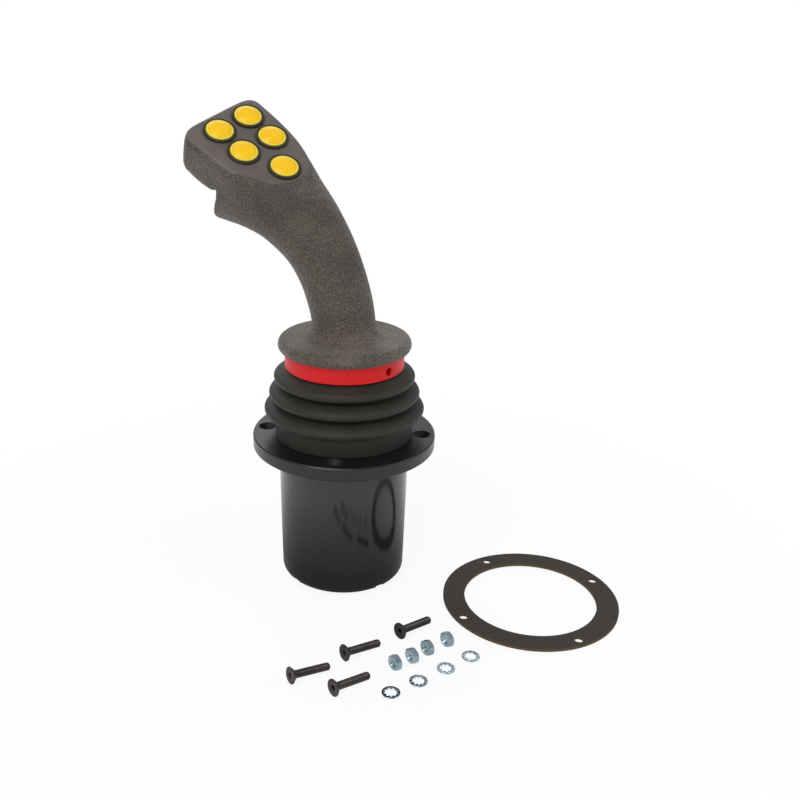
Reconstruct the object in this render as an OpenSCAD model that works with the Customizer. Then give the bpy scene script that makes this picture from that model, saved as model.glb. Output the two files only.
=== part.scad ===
// Two-axis industrial joystick: flanged base, gimbal, rubber boot and a five-button hand grip.
// Origin at the centre of the base's underside, +Z up, +Y forward, away from the operator.

/* [Base] */
// Diameter of the mounting flange
flange_d = 96; // [92:1:110]
// Thickness of the mounting flange
flange_t = 7; // [6:0.5:10]
// Height of the flange's top face above the underside
flange_top = 82; // [78:1:110]
// Distance from the flange's edge in to the centres of the mounting holes
bolt_edge = 7; // [6:0.5:7]
// Number of mounting holes
bolt_count = 4; // [3:1:8]
// Thread size of the mounting screws
bolt_d = 4; // [3:0.5:5]
// Outer diameter of the lower housing
housing_d = 65.5; // [65:0.5:70]
// Wall of the lower housing
housing_wall = 3; // [2.5:0.25:3]
// Radius on the housing's lower edge
housing_edge_r = 4.5; // [2:0.5:5]
// Width of the notches in the housing's lower rim
notch_w = 5.5; // [3:0.5:10]
// Height of the notches in the housing's lower rim
notch_h = 2.7; // [1:0.1:4]
// Depth of the recess under the bottom cover
cover_recess = 8; // [7:0.5:12]
// Thickness of the bottom cover
cover_t = 3; // [2:0.5:5]

/* [Gimbal] */
// Depth of the pivot centre below the flange's top face
pivot_depth = 17; // [16.5:0.5:18.5]
// Largest tilt of the lever on each axis, in degrees
tilt_limit = 20; // [10:1:20]
// Wall of the gimbal ring
ring_wall = 4.5; // [4:0.25:5]
// Height of the gimbal ring
ring_h = 14; // [13:0.5:15]
// Radius of the pitch pins
pitch_pin_r = 2.5; // [2:0.1:2.8]
// Radius of the roll pins
roll_pin_r = 2; // [1.6:0.1:2.2]
// Radius of the lever shaft
shaft_r = 6; // [5:0.25:7]
// Radius of the limit gate's plate
gate_r = 28.1; // [27:0.1:28.5]

/* [Boot] */
// Reach of the lowest fold outside the skirt
boot_fold_reach = 5.7; // [4:0.1:7]
// How much smaller each fold is than the one below
boot_fold_step = 2.6; // [1:0.2:3]
// Thickness of the boot's rubber
boot_t = 1.6; // [1:0.1:2]
// Height of the boot above the flange
boot_h = 37.1; // [33:0.5:42]

/* [Grip] */
// Radius of the clamp collar
collar_r = 30.75; // [26:0.5:32]
// Height of the clamp collar
collar_h = 8.4; // [7:0.2:12]
// Direction of the collar's first set screw, in degrees about the shaft
collar_screw_angle = -83; // [-180:1:180]
// Radius of the grip's foot disc
foot_r = 34.2; // [32:0.5:38]
// Height of the foot disc
foot_h = 7; // [6:0.5:9]
// Angle the grip is turned about its shaft
grip_yaw = 16; // [-30:1:30]
// Half width of the grip's neck, at its foot
neck_half_w = 16.3; // [15:0.1:18]
// Depth of the neck in front of its centre line
neck_front = 16.4; // [15:0.1:18]
// Depth of the neck behind its centre line, at its foot
neck_back = 15.6; // [15:0.1:17]
// Forward reach of the button face's centre
head_reach = 62.3; // [58:0.1:66]
// Height of the button face's centre above the flange
head_height = 147.3; // [143:0.1:152]
// Slope of the button face, up towards the front
head_slope = 29.7; // [27:0.1:32]
// Sideways tilt of the button face, down towards the thumb
head_roll = 19.4; // [10:0.1:22]
// Half width of the head at its front end
head_half_w = 25; // [24:0.1:26.5]
// Depth of the head under the button face
head_depth = 26.5; // [25:0.1:29]
// Distance from the button face's centre to the head's front end
head_front = 18.3; // [18:0.1:22]
// Reach of the finger ledge below the grip's centre line
ledge_reach = 31.2; // [26:0.1:33]
// Thickness of the face plate
plate_t = 2.5; // [2:0.1:3]

/* [Buttons] */
// Distance between the buttons across the face
button_pitch_x = 19.4; // [18:0.2:20]
// Distance between the buttons along the face
button_pitch_y = 18.2; // [17.8:0.2:19]
// Distance from the face's centre back to the thumb button
thumb_button_y = 28.4; // [27.5:0.2:29]
// Radius of a button cap
cap_r = 7.1; // [6.5:0.1:7.2]
// Travel of a button
button_travel = 1.4; // [0.8:0.1:1.6]
// Height of a bezel above the face
bezel_h = 2.4; // [2:0.1:3]

/* [Mounting kit] */
// Width of the gasket's ring
gasket_w = 11.2; // [9:0.2:13]
// Thickness of the gasket
gasket_t = 1.5; // [0.5:0.25:3]
// Length of the mounting screws
screw_len = 20; // [16:1:30]

/* [Hidden] */
$fn = 72;

black = [0.13, 0.13, 0.13];
rubber = [0.17, 0.17, 0.15];
grip_grey = [0.30, 0.27, 0.24];
signal_red = [0.80, 0.14, 0.16];
signal_yellow = [0.98, 0.78, 0.08];
steel = [0.70, 0.70, 0.72];
zinc = [0.72, 0.78, 0.82];
board_green = [0.10, 0.35, 0.20];
brass = [0.78, 0.62, 0.30];

// Clearances
seat_gap = 0.02;
running_gap = 0.05;
soft_gap = 0.3;
slip_gap = 0.1;

// Base
flange_r = flange_d / 2;
flange_under = flange_top - flange_t;
flange_edge = 0.6;
housing_sink = 0.5;
bolt_circle_d = flange_d - 2 * bolt_edge;
bolt_hole_r = bolt_d / 2 + 0.25;
bolt_head_r = bolt_d * 1.05;
countersink_r = bolt_head_r + 0.6;
countersink_depth = countersink_r - bolt_hole_r;
skirt_clear = 0.2;
boot_skirt_r = bolt_circle_d / 2 - countersink_r - skirt_clear;
boot_fold_r = boot_skirt_r + boot_fold_reach;
housing_r = housing_d / 2;
housing_bore_r = housing_r - housing_wall;
spigot_r = housing_bore_r - slip_gap;
spigot_wall = 2.5;
spigot_h = 5.5;
spigot_root = 1;
bridge_h = 3;
spigot_bottom = flange_under - spigot_h;
boot_seat_r = boot_skirt_r - boot_t - soft_gap;
boot_seat_h = 9;
groove_depth = 1;
groove_w = 2;
gate_t = 2;
gate_seat_z = flange_top + 2;
gate_ledge = 2;
aperture_r = gate_r - gate_ledge;
gate_screw_at = gate_r - gate_ledge / 2 - 0.4;
rim_flat = 1.25;
recess_r = housing_r - housing_edge_r - rim_flat;
ledge_w = 2.5;
ledge_h = 3;
tie_boss_r = 3.6;
tie_web = 3;
tie_screw_r = 1.5;
tie_count = 4;
tie_head_r = 2.75;
tie_head_h = 3;
tie_r = recess_r - tie_head_r - 0.45;
cover_r = recess_r - slip_gap;
cover_top = cover_recess + cover_t;
board_r = tie_r - tie_boss_r - 0.4;
board_post_r = 2.6;
board_post_at = board_r - board_post_r - 1.2;
board_post_h = 16;
board_z = cover_top + board_post_h;
board_screw_r = 1.25;
board_screw_head_r = 2.3;
board_screw_head_h = 1.8;
board_screw_len = 6;
board_count = 3;
chip = [10, 10, 1.6];
regulator = [6, 5, 4];
regulator_gap = 0.78;
regulator_y = board_post_at - board_screw_head_r - regulator_gap - regulator[1];
capacitor_r = 3;
capacitor_h = 6;
capacitor_gap = 2.89;
capacitor_x = chip[0] / 2 + capacitor_gap + capacitor_r;
capacitor_screw_gap = 0.7;
capacitor_y = board_screw_head_r + capacitor_r + capacitor_screw_gap - board_post_at / 2;
header_w = 20;
header_d = 11;
header_bottom = 1.5;
header_wall = 1.5;
header_lip = 1;
header_lip_t = 2;
pin_r = 0.5;
pin_pitch = 2.54;
pin_columns = 6;
pin_row_at = 1.6;
pin_tip = 5.2;
gate_screw_r = 0.6;
gate_screw_head_r = 1.2;
gate_screw_head_h = 1;
gate_screw_len = 4;

// Gimbal
pivot_z = flange_top - pivot_depth;
sensor_stack = 13.75;
ring_r = housing_bore_r - sensor_stack;
ring_bore_r = ring_r - ring_wall;
ring_flat = ring_r - 0.5;
bush_wall = 1.5;
bush_lip = 1.2;
bush_lip_w = 1.5;
side_play = 0.3;
ear_in = ring_flat + side_play + bush_lip;
ear_t = 5;
ear_out = ear_in + ear_t;
ear_w = 14;
ear_drop = 10;
pin_stub = 0.3;
magnet_r = 4;
magnet_t = 1.7;
chip_t = 0.7;
sensor_gap = 0.4;
board_t = 1.6;
pitch_magnet_x = ear_out + pin_stub;
pitch_board_x = pitch_magnet_x + magnet_t + sensor_gap + chip_t;
pitch_bush_r = pitch_pin_r + bush_wall;
roll_bush_r = roll_pin_r + bush_wall;
roll_bush_in = ring_bore_r - 0.35;
roll_magnet_r = 3.4;
roll_magnet_y = ring_flat + 1.3;
roll_board_y = roll_magnet_y + magnet_t + sensor_gap + chip_t;
sensor_post_r = 1.3;
pitch_board_w = 12.4;
pitch_board_h = 10.6;
roll_board_w = 13.2;
roll_board_h = 9;
chip_w = 4;
hub_r = ring_bore_r - 0.5;
hub_flat = roll_bush_in - bush_lip - side_play;
hub_core_r = 4;
hub_bottom = 9.5;
shaft_nut_h = 6.5;
shaft_nut_r = 7.5;
hub_floor_z = pivot_z - hub_bottom - shaft_nut_h - 1;
spring_wire_r = 0.5;
spring_turns = 3;
pitch_spring_r = pitch_pin_r + 1.3;
roll_spring_r = roll_pin_r + 1.2;
spring_clear = 0.4;
pitch_spring_len = (spring_turns + 1) * spring_wire_r * 2.1;
roll_spring_len = pitch_spring_len;
peg_r = 0.9;
pitch_peg_out = pitch_spring_r + spring_wire_r + peg_r + 0.6;
roll_peg_out = roll_spring_r + spring_wire_r + peg_r + 0.4;
arm_t = 1.2;
pitch_arm_x = ear_out + spring_clear * 2 + pitch_spring_len;
roll_arm_y = ring_flat + spring_clear * 2 + roll_spring_len;
gate_top = gate_seat_z + gate_t;
gate_rise = gate_top - pivot_z;
gate_half = gate_rise * tan(tilt_limit) / cos(tilt_limit)
    + shaft_r * sqrt(1 + pow(tan(tilt_limit) / cos(tilt_limit), 2)) + 0.4;

// Lever
shoulder_r = 10;
shoulder_t = 3;
washer_t = 1.5;
washer_r = 15;
boot_top = flange_top + boot_h;
collar_bottom = boot_top + 2 * seat_gap;
washer_z = boot_top - boot_t - washer_t;
shoulder_z = washer_z - shoulder_t;
collar_rim = 3.2;
collar_web = 2.5;
collar_hub_r = 14;
collar_screw_r = 2;
collar_screw_len = 7;
collar_screw_count = 2;
grip_bottom = collar_bottom + collar_h;
insert_r = 9;
insert_h = 22;
shaft_reach = 30;
shaft_top = grip_bottom + shaft_reach;

// Grip: the centre line is a quadratic curve from the foot, through a corner point, to the head
foot_edge_r = 3;
foot_fillet_r = 6;
spine_start = [0, grip_bottom + foot_h + 1.2];
face_centre = [head_reach, flange_top + head_height];
face_along = [cos(head_slope), sin(head_slope)];
face_up = [-sin(head_slope), cos(head_slope)];
nose_round = 6.3;
spine_end = face_centre + face_along * (head_front - nose_round + 2) - face_up * head_depth / 2;
spine_corner = [0, spine_end[1] - spine_end[0] * tan(head_slope) + 2.5];
head_shift = -1.4;
ledge_at = 0.86;
ledge_from = 0.62;
ledge_curve = 1.63;
ledge_step = 0.012;
ring_sides = 40;
plate_over = 8;
tail_half_w = 16;
tail_len = 12;
tail_rim = 0.6;
cut_back = thumb_button_y + 14;
insert_rib_r = insert_r + 1.2;
insert_rib_h = 3;
insert_rib_at = [5, 11];
wire_way_r = 3;
neck_rings = 30;
head_rings = 7;
nose_rings = 4;
// Crown of the head above its centre line, cut flat by the button face
head_crown = 17.2;

// Buttons
button_at = [
    [-button_pitch_x / 2, button_pitch_y / 2],
    [button_pitch_x / 2, button_pitch_y / 2],
    [-button_pitch_x / 2, -button_pitch_y / 2],
    [button_pitch_x / 2, -button_pitch_y / 2],
    [0, -thumb_button_y]
];
bezel_bore_r = cap_r + soft_gap;
bezel_r = bezel_bore_r + 1;
bezel_floor = 0.6;
barrel_r = 5.2;
barrel_bore_r = 4.3;
barrel_len = 10;
stem_r = 3;
stem_foot_r = 4;
stem_foot_len = 3.5;
cap_rest = bezel_floor + button_travel + 0.2;
cap_edge_h = 1.1;
cap_dome_h = 0.8;
button_nut_r = 7.2;
button_nut_flat = button_nut_r * cos(30);
button_nut_h = 2.5;
switch_h = 4;
cavity_depth = 17;

// Mounting kit
kit_turn = -38.5;
gasket_out_r = flange_r - 2.5;
gasket_bolt_turn = 26;
gasket_at = [99, -35];
screw_at = [[-24, -107], [-4, -115.5], [1, -89], [28.5, -70.5]];
screw_dir = [31, 37.5, 34.5, 41];
nut_at = [[25.3, -95], [33.6, -89.5], [41.4, -83], [51.6, -75.8]];
nut_turn = 35;
washer_at = [[22.6, -113.5], [35.8, -104.8], [49.4, -94.9], [62.2, -85.3]];
nut_flat_r = bolt_d * 0.875;
nut_corner_r = nut_flat_r / cos(30);
nut_h = bolt_d * 0.8;
lock_out_r = bolt_d;
lock_in_r = bolt_d / 2 + 0.9;
lock_tooth_r = bolt_d / 2 + 0.15;
lock_t = 0.6;
lock_teeth = 8;

// --- shared forms -------------------------------------------------------------------------

// A bar along +X, from x0 to x1
module x_bar(r, x0, x1) {
    translate([x0, 0, 0])
        rotate([0, 90, 0])
            cylinder(h = x1 - x0, r = r);
}

// A bar along +Y, from y0 to y1
module y_bar(r, y0, y1) {
    translate([0, y0, 0])
        rotate([-90, 0, 0])
            cylinder(h = y1 - y0, r = r);
}

module ring(r_out, r_in, h) {
    rotate_extrude()
        translate([r_in, 0])
            square([r_out - r_in, h]);
}

module around(count, first = 0) {
    for (i = [0 : count - 1])
        rotate([0, 0, first + i * 360 / count])
            children();
}

// A tube swept along a path, with a round section of the given number of sides
function unit(v) = v / norm(v);
function path_dir(p, i) = unit(p[min(i + 1, len(p) - 1)] - p[max(i - 1, 0)]);
module wire(path, r, axis, sides = 6) {
    n = len(path);
    points = [
        for (i = [0 : n - 1])
            let (
                d = path_dir(path, i),
                a = unit(cross(d, axis)),
                b = cross(d, a)
            )
            for (k = [0 : sides - 1])
                path[i] + r * (cos(360 * k / sides) * a + sin(360 * k / sides) * b)
    ];
    skin = [
        for (i = [0 : n - 2])
            for (k = [0 : sides - 1])
                let (k2 = (k + 1) % sides)
                [i * sides + k, i * sides + k2, (i + 1) * sides + k2, (i + 1) * sides + k]
    ];
    start_cap = [for (k = [sides - 1 : -1 : 0]) k];
    end_cap = [for (k = [0 : sides - 1]) (n - 1) * sides + k];
    polyhedron(points, concat(skin, [start_cap, end_cap]));
}

// --- base ---------------------------------------------------------------------------------

module mounting_flange() {
    color(black)
    difference() {
        union() {
            flange_disc();
            spigot();
            for (side = [-1, 1])
                gimbal_ear(side);
            spring_peg();
        }
        around(bolt_count, 45)
            translate([bolt_circle_d / 2, 0, 0])
                mounting_hole();
        around(tie_count, 45)
            translate([tie_r, 0, spigot_bottom - 1])
                cylinder(h = spigot_h, r = tie_screw_r + seat_gap);
        translate([0, 0, pivot_z])
            x_bar(pitch_bush_r + seat_gap, -ear_out - 1, ear_out + 1);
        around(tie_count, 0)
            translate([gate_screw_at, 0, gate_seat_z - gate_screw_len - 1])
                cylinder(h = gate_screw_len + 2, r = gate_screw_r + seat_gap, $fn = 24);
    }
}

// Disc with a turned seat for the boot round its opening
module flange_disc() {
    edge = flange_edge;
    seat_top = flange_top + boot_seat_h;
    groove_z = flange_top + boot_seat_h / 3;
    rotate_extrude()
        polygon([
            [aperture_r, flange_under + housing_sink],
            [housing_r + slip_gap, flange_under + housing_sink],
            [housing_r + slip_gap, flange_under],
            [flange_r - edge, flange_under],
            [flange_r, flange_under + edge],
            [flange_r, flange_top - edge],
            [flange_r - edge, flange_top],
            [boot_seat_r, flange_top],
            [boot_seat_r, groove_z],
            [boot_seat_r - groove_depth, groove_z + groove_depth / 2],
            [boot_seat_r - groove_depth, groove_z + groove_w],
            [boot_seat_r, groove_z + groove_w + groove_depth / 2],
            [boot_seat_r, seat_top],
            [gate_r, seat_top],
            [gate_r, gate_seat_z],
            [aperture_r, gate_seat_z]
        ]);
}

module mounting_hole() {
    translate([0, 0, flange_under - 1])
        cylinder(h = flange_t + 2, r = bolt_hole_r);
    translate([0, 0, flange_top - countersink_depth])
        cylinder(h = countersink_depth, r1 = bolt_hole_r, r2 = countersink_r);
    translate([0, 0, flange_top])
        cylinder(h = 1, r = countersink_r);
}

// Register that centres the housing, with lugs for the tie screws
module spigot() {
    full_h = spigot_h + housing_sink;
    translate([0, 0, spigot_bottom])
        ring(spigot_r, spigot_r - spigot_wall, full_h + spigot_root);
    intersection() {
        around(tie_count, 45)
            translate([tie_r, 0, spigot_bottom])
                cylinder(h = full_h, r = tie_boss_r);
        translate([0, 0, spigot_bottom])
            cylinder(h = full_h, r = spigot_r);
    }
}

module gimbal_ear(side) {
    x0 = side > 0 ? ear_in : -ear_out;
    translate([x0, -ear_w / 2, pivot_z - ear_drop])
        cube([ear_t, ear_w, flange_under + housing_sink - pivot_z + ear_drop]);
    bridge_x = side > 0 ? ear_in : -spigot_r + 1;
    intersection() {
        translate([bridge_x, -ear_w / 2, flange_under - bridge_h])
            cube([spigot_r - 1 - ear_in, ear_w, bridge_h + housing_sink]);
        cylinder(h = flange_top, r = spigot_r);
    }
    if (side > 0)
        for (y = [-1, 1])
            translate([0, y * (pitch_board_w / 2 - sensor_post_r - 0.3), pivot_z - ear_drop + 4])
                x_bar(sensor_post_r, ear_out - 1, pitch_board_x);
}

module spring_peg() {
    translate([0, 0, pivot_z - pitch_peg_out])
        x_bar(peg_r, -ear_out - pitch_spring_len + 1, -ear_out + 1);
}

module lower_housing() {
    color(black)
    difference() {
        union() {
            housing_shell();
            intersection() {
                around(tie_count, 45)
                    translate([tie_r, 0, cover_top + 1]) {
                        cylinder(h = spigot_bottom - cover_top - 1, r = tie_boss_r);
                        translate([0, -tie_web / 2, 0])
                            cube([housing_r, tie_web, spigot_bottom - cover_top - 1]);
                    }
                cylinder(h = flange_top, r = housing_bore_r + housing_wall / 2);
            }
        }
        around(4)
            translate([housing_r - 10, -notch_w / 2, -1])
                cube([20, notch_w, notch_h + 1]);
        around(tie_count, 45)
            translate([tie_r, 0, 0])
                cylinder(h = flange_top, r = tie_screw_r + slip_gap);
    }
}

// Turned shell, thick at its rounded lower rim, with a ledge that the bottom cover seats against
module housing_shell() {
    edge = housing_edge_r;
    rotate_extrude()
        polygon(concat(
            [
                [housing_bore_r, flange_under + housing_sink],
                [housing_bore_r, cover_top + ledge_h],
                [recess_r - ledge_w, cover_top + ledge_h],
                [recess_r - ledge_w, cover_top],
                [recess_r, cover_top],
                [recess_r, 0]
            ],
            [for (a = [0 : 15 : 90])
                [housing_r - edge + edge * sin(a), edge * (1 - cos(a))]],
            [[housing_r, flange_under + housing_sink]]
        ));
}

module bottom_cover() {
    color(black)
    difference() {
        union() {
            translate([0, 0, cover_recess])
                cylinder(h = cover_t, r = cover_r);
            around(board_count, 90)
                translate([board_post_at, 0, cover_top - 1])
                    cylinder(h = board_post_h + 1, r = board_post_r);
        }
        around(tie_count, 45)
            translate([tie_r, 0, cover_recess - 1])
                cylinder(h = cover_t + 2, r = tie_screw_r + slip_gap);
        translate([-header_w / 2 - slip_gap, -header_d / 2 - slip_gap, cover_recess - 1])
            cube([header_w + 2 * slip_gap, header_d + 2 * slip_gap, cover_t + 2]);
        around(board_count, 90)
            translate([board_post_at, 0, board_z - board_screw_len - 2])
                cylinder(h = board_screw_len + 3, r = board_screw_r + seat_gap);
    }
}

module tie_screws() {
    color(steel)
    around(tie_count, 45)
        translate([tie_r, 0, 0]) {
            translate([0, 0, cover_recess])
                cylinder(h = spigot_bottom + spigot_h - 2 - cover_recess, r = tie_screw_r);
            translate([0, 0, cover_recess - tie_head_h])
                difference() {
                    cylinder(h = tie_head_h, r = tie_head_r);
                    translate([0, 0, -1])
                        cylinder(h = 2.5, r = 1.4, $fn = 6);
                }
        }
}

// Open-fronted plug header that looks down out of the base
module connector_header() {
    wall = header_wall;
    bottom = header_bottom;
    lip = header_lip;
    color(black)
    difference() {
        union() {
            translate([-header_w / 2, -header_d / 2, bottom])
                cube([header_w, header_d, cover_top - bottom + header_lip_t]);
            translate([-header_w / 2 - lip, -header_d / 2 - lip, cover_top])
                cube([header_w + 2 * lip, header_d + 2 * lip, header_lip_t]);
        }
        translate([-header_w / 2 + wall, -header_d / 2 + wall, bottom - 1])
            cube([header_w - 2 * wall, header_d - 2 * wall, cover_recess - bottom + 1]);
        header_pin_places()
            cylinder(h = flange_top, r = pin_r + seat_gap, $fn = 24);
    }
}

module header_pin_places() {
    for (row = [-1, 1])
        for (k = [0 : pin_columns - 1])
            translate([(k - (pin_columns - 1) / 2) * pin_pitch, row * pin_row_at, 0])
                children();
}

module connector_pins() {
    color(brass)
    header_pin_places()
        translate([0, 0, pin_tip])
            cylinder(h = board_z - pin_tip - 0.2, r = pin_r, $fn = 24);
}

module circuit_board() {
    color(board_green)
    difference() {
        union() {
            translate([0, 0, board_z])
                cylinder(h = board_t, r = board_r);
            translate([-chip[0] / 2, -chip[1] / 2 - 1, board_z + board_t])
                cube(chip);
            translate([-regulator[0] / 2, regulator_y, board_z + board_t])
                cube(regulator);
            for (x = [-1, 1])
                translate([x * capacitor_x, capacitor_y, board_z + board_t])
                    cylinder(h = capacitor_h, r = capacitor_r);
        }
        around(board_count, 90)
            translate([board_post_at, 0, board_z - 1])
                cylinder(h = board_t + 2, r = board_screw_r + slip_gap);
    }
}

module board_screws() {
    color(steel)
    around(board_count, 90)
        translate([board_post_at, 0, board_z + board_t]) {
            cylinder(h = board_screw_head_h, r = board_screw_head_r);
            translate([0, 0, -board_t - board_screw_len])
                cylinder(h = board_t + board_screw_len + 0.5, r = board_screw_r);
        }
}

// Plate with a square opening that stops the shaft at full tilt
module limit_gate() {
    color(steel)
    difference() {
        translate([0, 0, gate_seat_z])
            cylinder(h = gate_t, r = gate_r - slip_gap);
        translate([-gate_half, -gate_half, gate_seat_z - 1])
            cube([2 * gate_half, 2 * gate_half, gate_t + 2]);
        around(tie_count, 0)
            translate([gate_screw_at, 0, gate_seat_z - 1])
                cylinder(h = gate_t + 2, r = gate_screw_r + slip_gap, $fn = 24);
    }
}

module gate_screws() {
    color(steel)
    around(tie_count, 0)
        translate([gate_screw_at, 0, gate_top]) {
            cylinder(h = gate_screw_head_h, r = gate_screw_head_r);
            translate([0, 0, -gate_t - gate_screw_len])
                cylinder(h = gate_t + gate_screw_len + 0.5, r = gate_screw_r, $fn = 24);
        }
}

module pitch_bushes() {
    color(brass)
    translate([0, 0, pivot_z])
        for (side = [0, 1])
            mirror([side, 0, 0])
                difference() {
                    union() {
                        x_bar(pitch_bush_r, ear_in - 0.5, ear_out);
                        x_bar(pitch_bush_r + bush_lip_w, ear_in - bush_lip, ear_in);
                    }
                    x_bar(pitch_pin_r + running_gap, ear_in - 5, ear_out + 5);
                }
}

module pitch_sensor() {
    color(board_green)
    translate([pitch_board_x, -pitch_board_w / 2, pivot_z + chip_w / 2 + 0.6 - pitch_board_h])
        cube([board_t, pitch_board_w, pitch_board_h]);
    color(black)
    translate([pitch_board_x - chip_t, -chip_w / 2, pivot_z - chip_w / 2])
        cube([chip_t + 0.1, chip_w, chip_w]);
}

// Spring coiled round the +X axis, with two legs that reach down either side of a peg
function torsion_path(r, len, turns, leg, gap) = concat(
    [[0, -gap, -leg]],
    [for (a = [0 : 360 / 16 : 360 * turns])
        let (k = a / (360 * turns))
        [k * len, -r * cos(a) , r * sin(a)]],
    [for (a = [22.5 : 22.5 : 180])
        [len, -r * cos(a), r * sin(a)]],
    [[len, gap, -leg]]
);

module pitch_spring() {
    color(steel)
    translate([-ear_out - spring_clear - spring_wire_r, 0, pivot_z])
        mirror([1, 0, 0])
            wire(torsion_path(pitch_spring_r, pitch_spring_len - 2 * spring_wire_r, spring_turns,
                pitch_peg_out + 1.5, peg_r + spring_wire_r + 0.1), spring_wire_r, [1, 0, 0]);
}

// Rubber bellows. The outline runs up the skirt, over three folds and in to the shaft. Each fold
// slopes out to a rounded lip that hangs over the valley below it.
fold_count = 3;
skirt_h = 9.6;
fold_pitch = (boot_h - skirt_h - 1.25) / fold_count;
lip_r = 2;
valley_in = 7.4;
function fold_r(i) = boot_fold_r - i * boot_fold_step;
function fold_z(i) = skirt_h + 4.5 + i * fold_pitch;
function fold_points(i) = concat(
    [[fold_r(i) - 4.2, fold_z(i) - 1.5 * lip_r]],
    [for (a = [-80 : 32 : 80])
        [fold_r(i) - lip_r + lip_r * cos(a), fold_z(i) + lip_r * sin(a) - 0.4]],
    i < fold_count - 1
        ? [[fold_r(i) - valley_in + 1.2, fold_z(i) + fold_pitch - 4.6],
           [fold_r(i) - valley_in, fold_z(i) + fold_pitch - 4.1]]
        : [[fold_r(i) - 5.4, boot_h - 1.5]]
);
function boot_outer() = concat(
    [[boot_skirt_r, 0], [boot_skirt_r, skirt_h]],
    [for (i = [0 : fold_count - 1]) each fold_points(i)],
    [[fold_r(fold_count - 1) - 8, boot_h], [shaft_r + soft_gap, boot_h]]
);

module boot() {
    outer = boot_outer();
    n = len(outer);
    inner = [for (i = [n - 2 : -1 : 0]) [outer[i][0] - boot_t, min(outer[i][1], boot_h - boot_t)]];
    color(rubber)
    translate([0, 0, flange_top + seat_gap])
        rotate_extrude()
            polygon(concat(outer, [[shaft_r + soft_gap, boot_h - boot_t]], inner));
}

// --- gimbal -------------------------------------------------------------------------------

module gimbal_ring() {
    color(steel)
    translate([0, 0, pivot_z])
    difference() {
        union() {
            intersection() {
                translate([0, 0, -ring_h / 2])
                    cylinder(h = ring_h, r = ring_r);
                cube([2 * ring_flat, 2 * ring_flat, ring_h + 2], center = true);
            }
            for (x = [-1, 1])
                translate([x * (roll_board_w / 2 - sensor_post_r - 0.3), 0, -4])
                    y_bar(sensor_post_r, ring_flat - 2, roll_board_y);
            translate([0, 0, -roll_peg_out])
                y_bar(peg_r, -ring_flat - roll_spring_len + 1, -ring_flat + 2);
        }
        cylinder(h = ring_h * 2, r = ring_bore_r, center = true);
        x_bar(pitch_pin_r + seat_gap, -ring_r - 5, ring_r + 5);
        y_bar(roll_bush_r + seat_gap, -ring_r - 1, ring_r + 1);
        y_bar(roll_bush_r + bush_lip_w + slip_gap, -roll_bush_in, roll_bush_in);
    }
}

module pitch_pins() {
    pin_in = ring_bore_r + 0.3;
    color(steel)
    translate([0, 0, pivot_z]) {
        x_bar(pitch_pin_r, pin_in, pitch_magnet_x);
        x_bar(pitch_pin_r, -pitch_arm_x - arm_t, -pin_in);
    }
}

module pitch_magnet() {
    color(steel)
    translate([0, 0, pivot_z])
        x_bar(magnet_r, pitch_magnet_x, pitch_magnet_x + magnet_t);
}

// Crank on the end of a pivot pin, with a peg between the spring's legs
module spring_arm(pin_r, reach, peg_len) {
    difference() {
        union() {
            cylinder(h = arm_t, r = pin_r + 1.4);
            translate([-1.4, -reach - 1.4, 0])
                cube([2.8, reach + 1.4, arm_t]);
            translate([0, -reach, -peg_len])
                cylinder(h = peg_len + arm_t / 2, r = peg_r);
        }
        translate([0, 0, -1])
            cylinder(h = arm_t + 2, r = pin_r + seat_gap);
    }
}

module pitch_spring_arm() {
    color(steel)
    translate([-pitch_arm_x, 0, pivot_z])
        rotate([90, 0, -90])
            spring_arm(pitch_pin_r, pitch_peg_out, 1.2);
}

module roll_bushes() {
    color(brass)
    translate([0, 0, pivot_z])
        for (side = [0, 1])
            mirror([0, side, 0])
                difference() {
                    union() {
                        y_bar(roll_bush_r, roll_bush_in - 0.5, ring_flat);
                        y_bar(roll_bush_r + bush_lip_w, roll_bush_in - bush_lip, roll_bush_in);
                    }
                    y_bar(roll_pin_r + running_gap, 0, ring_flat + 5);
                }
}

module roll_sensor() {
    color(board_green)
    translate([-roll_board_w / 2, roll_board_y, pivot_z + chip_w / 2 + 1 - roll_board_h])
        cube([roll_board_w, board_t, roll_board_h]);
    color(black)
    translate([-chip_w / 2, roll_board_y - chip_t, pivot_z - chip_w / 2])
        cube([chip_w, chip_t + 0.1, chip_w]);
}

// --- lever --------------------------------------------------------------------------------

module lever_hub() {
    color(steel)
    translate([0, 0, pivot_z])
    difference() {
        intersection() {
            sphere(r = hub_r);
            translate([-hub_r, -hub_flat, -hub_bottom])
                cube([2 * hub_r, 2 * hub_flat, 2 * hub_bottom]);
        }
        cylinder(h = 3 * hub_r, r = hub_core_r + seat_gap, center = true);
        y_bar(roll_pin_r + seat_gap, hub_core_r + 0.5, hub_r + 1);
        y_bar(roll_pin_r + seat_gap, -hub_r - 1, -hub_core_r - 0.5);
    }
}

module lever_shaft() {
    wire_bore_r = 2.5;
    color(steel)
    difference() {
        union() {
            translate([0, 0, hub_floor_z])
                cylinder(h = hub_bottom * 2 + shaft_nut_h + 2, r = hub_core_r);
            translate([0, 0, pivot_z + hub_bottom])
                cylinder(h = shaft_top - pivot_z - hub_bottom, r = shaft_r);
            translate([0, 0, shoulder_z])
                cylinder(h = shoulder_t, r = shoulder_r);
        }
        translate([0, 0, hub_floor_z - 1])
            cylinder(h = shaft_top, r = wire_bore_r);
    }
}

module shaft_nut() {
    color(steel)
    translate([0, 0, pivot_z - hub_bottom - shaft_nut_h])
        difference() {
            cylinder(h = shaft_nut_h, r = shaft_nut_r, $fn = 6);
            translate([0, 0, -1])
                cylinder(h = shaft_nut_h + 2, r = hub_core_r + seat_gap);
        }
}

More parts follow.
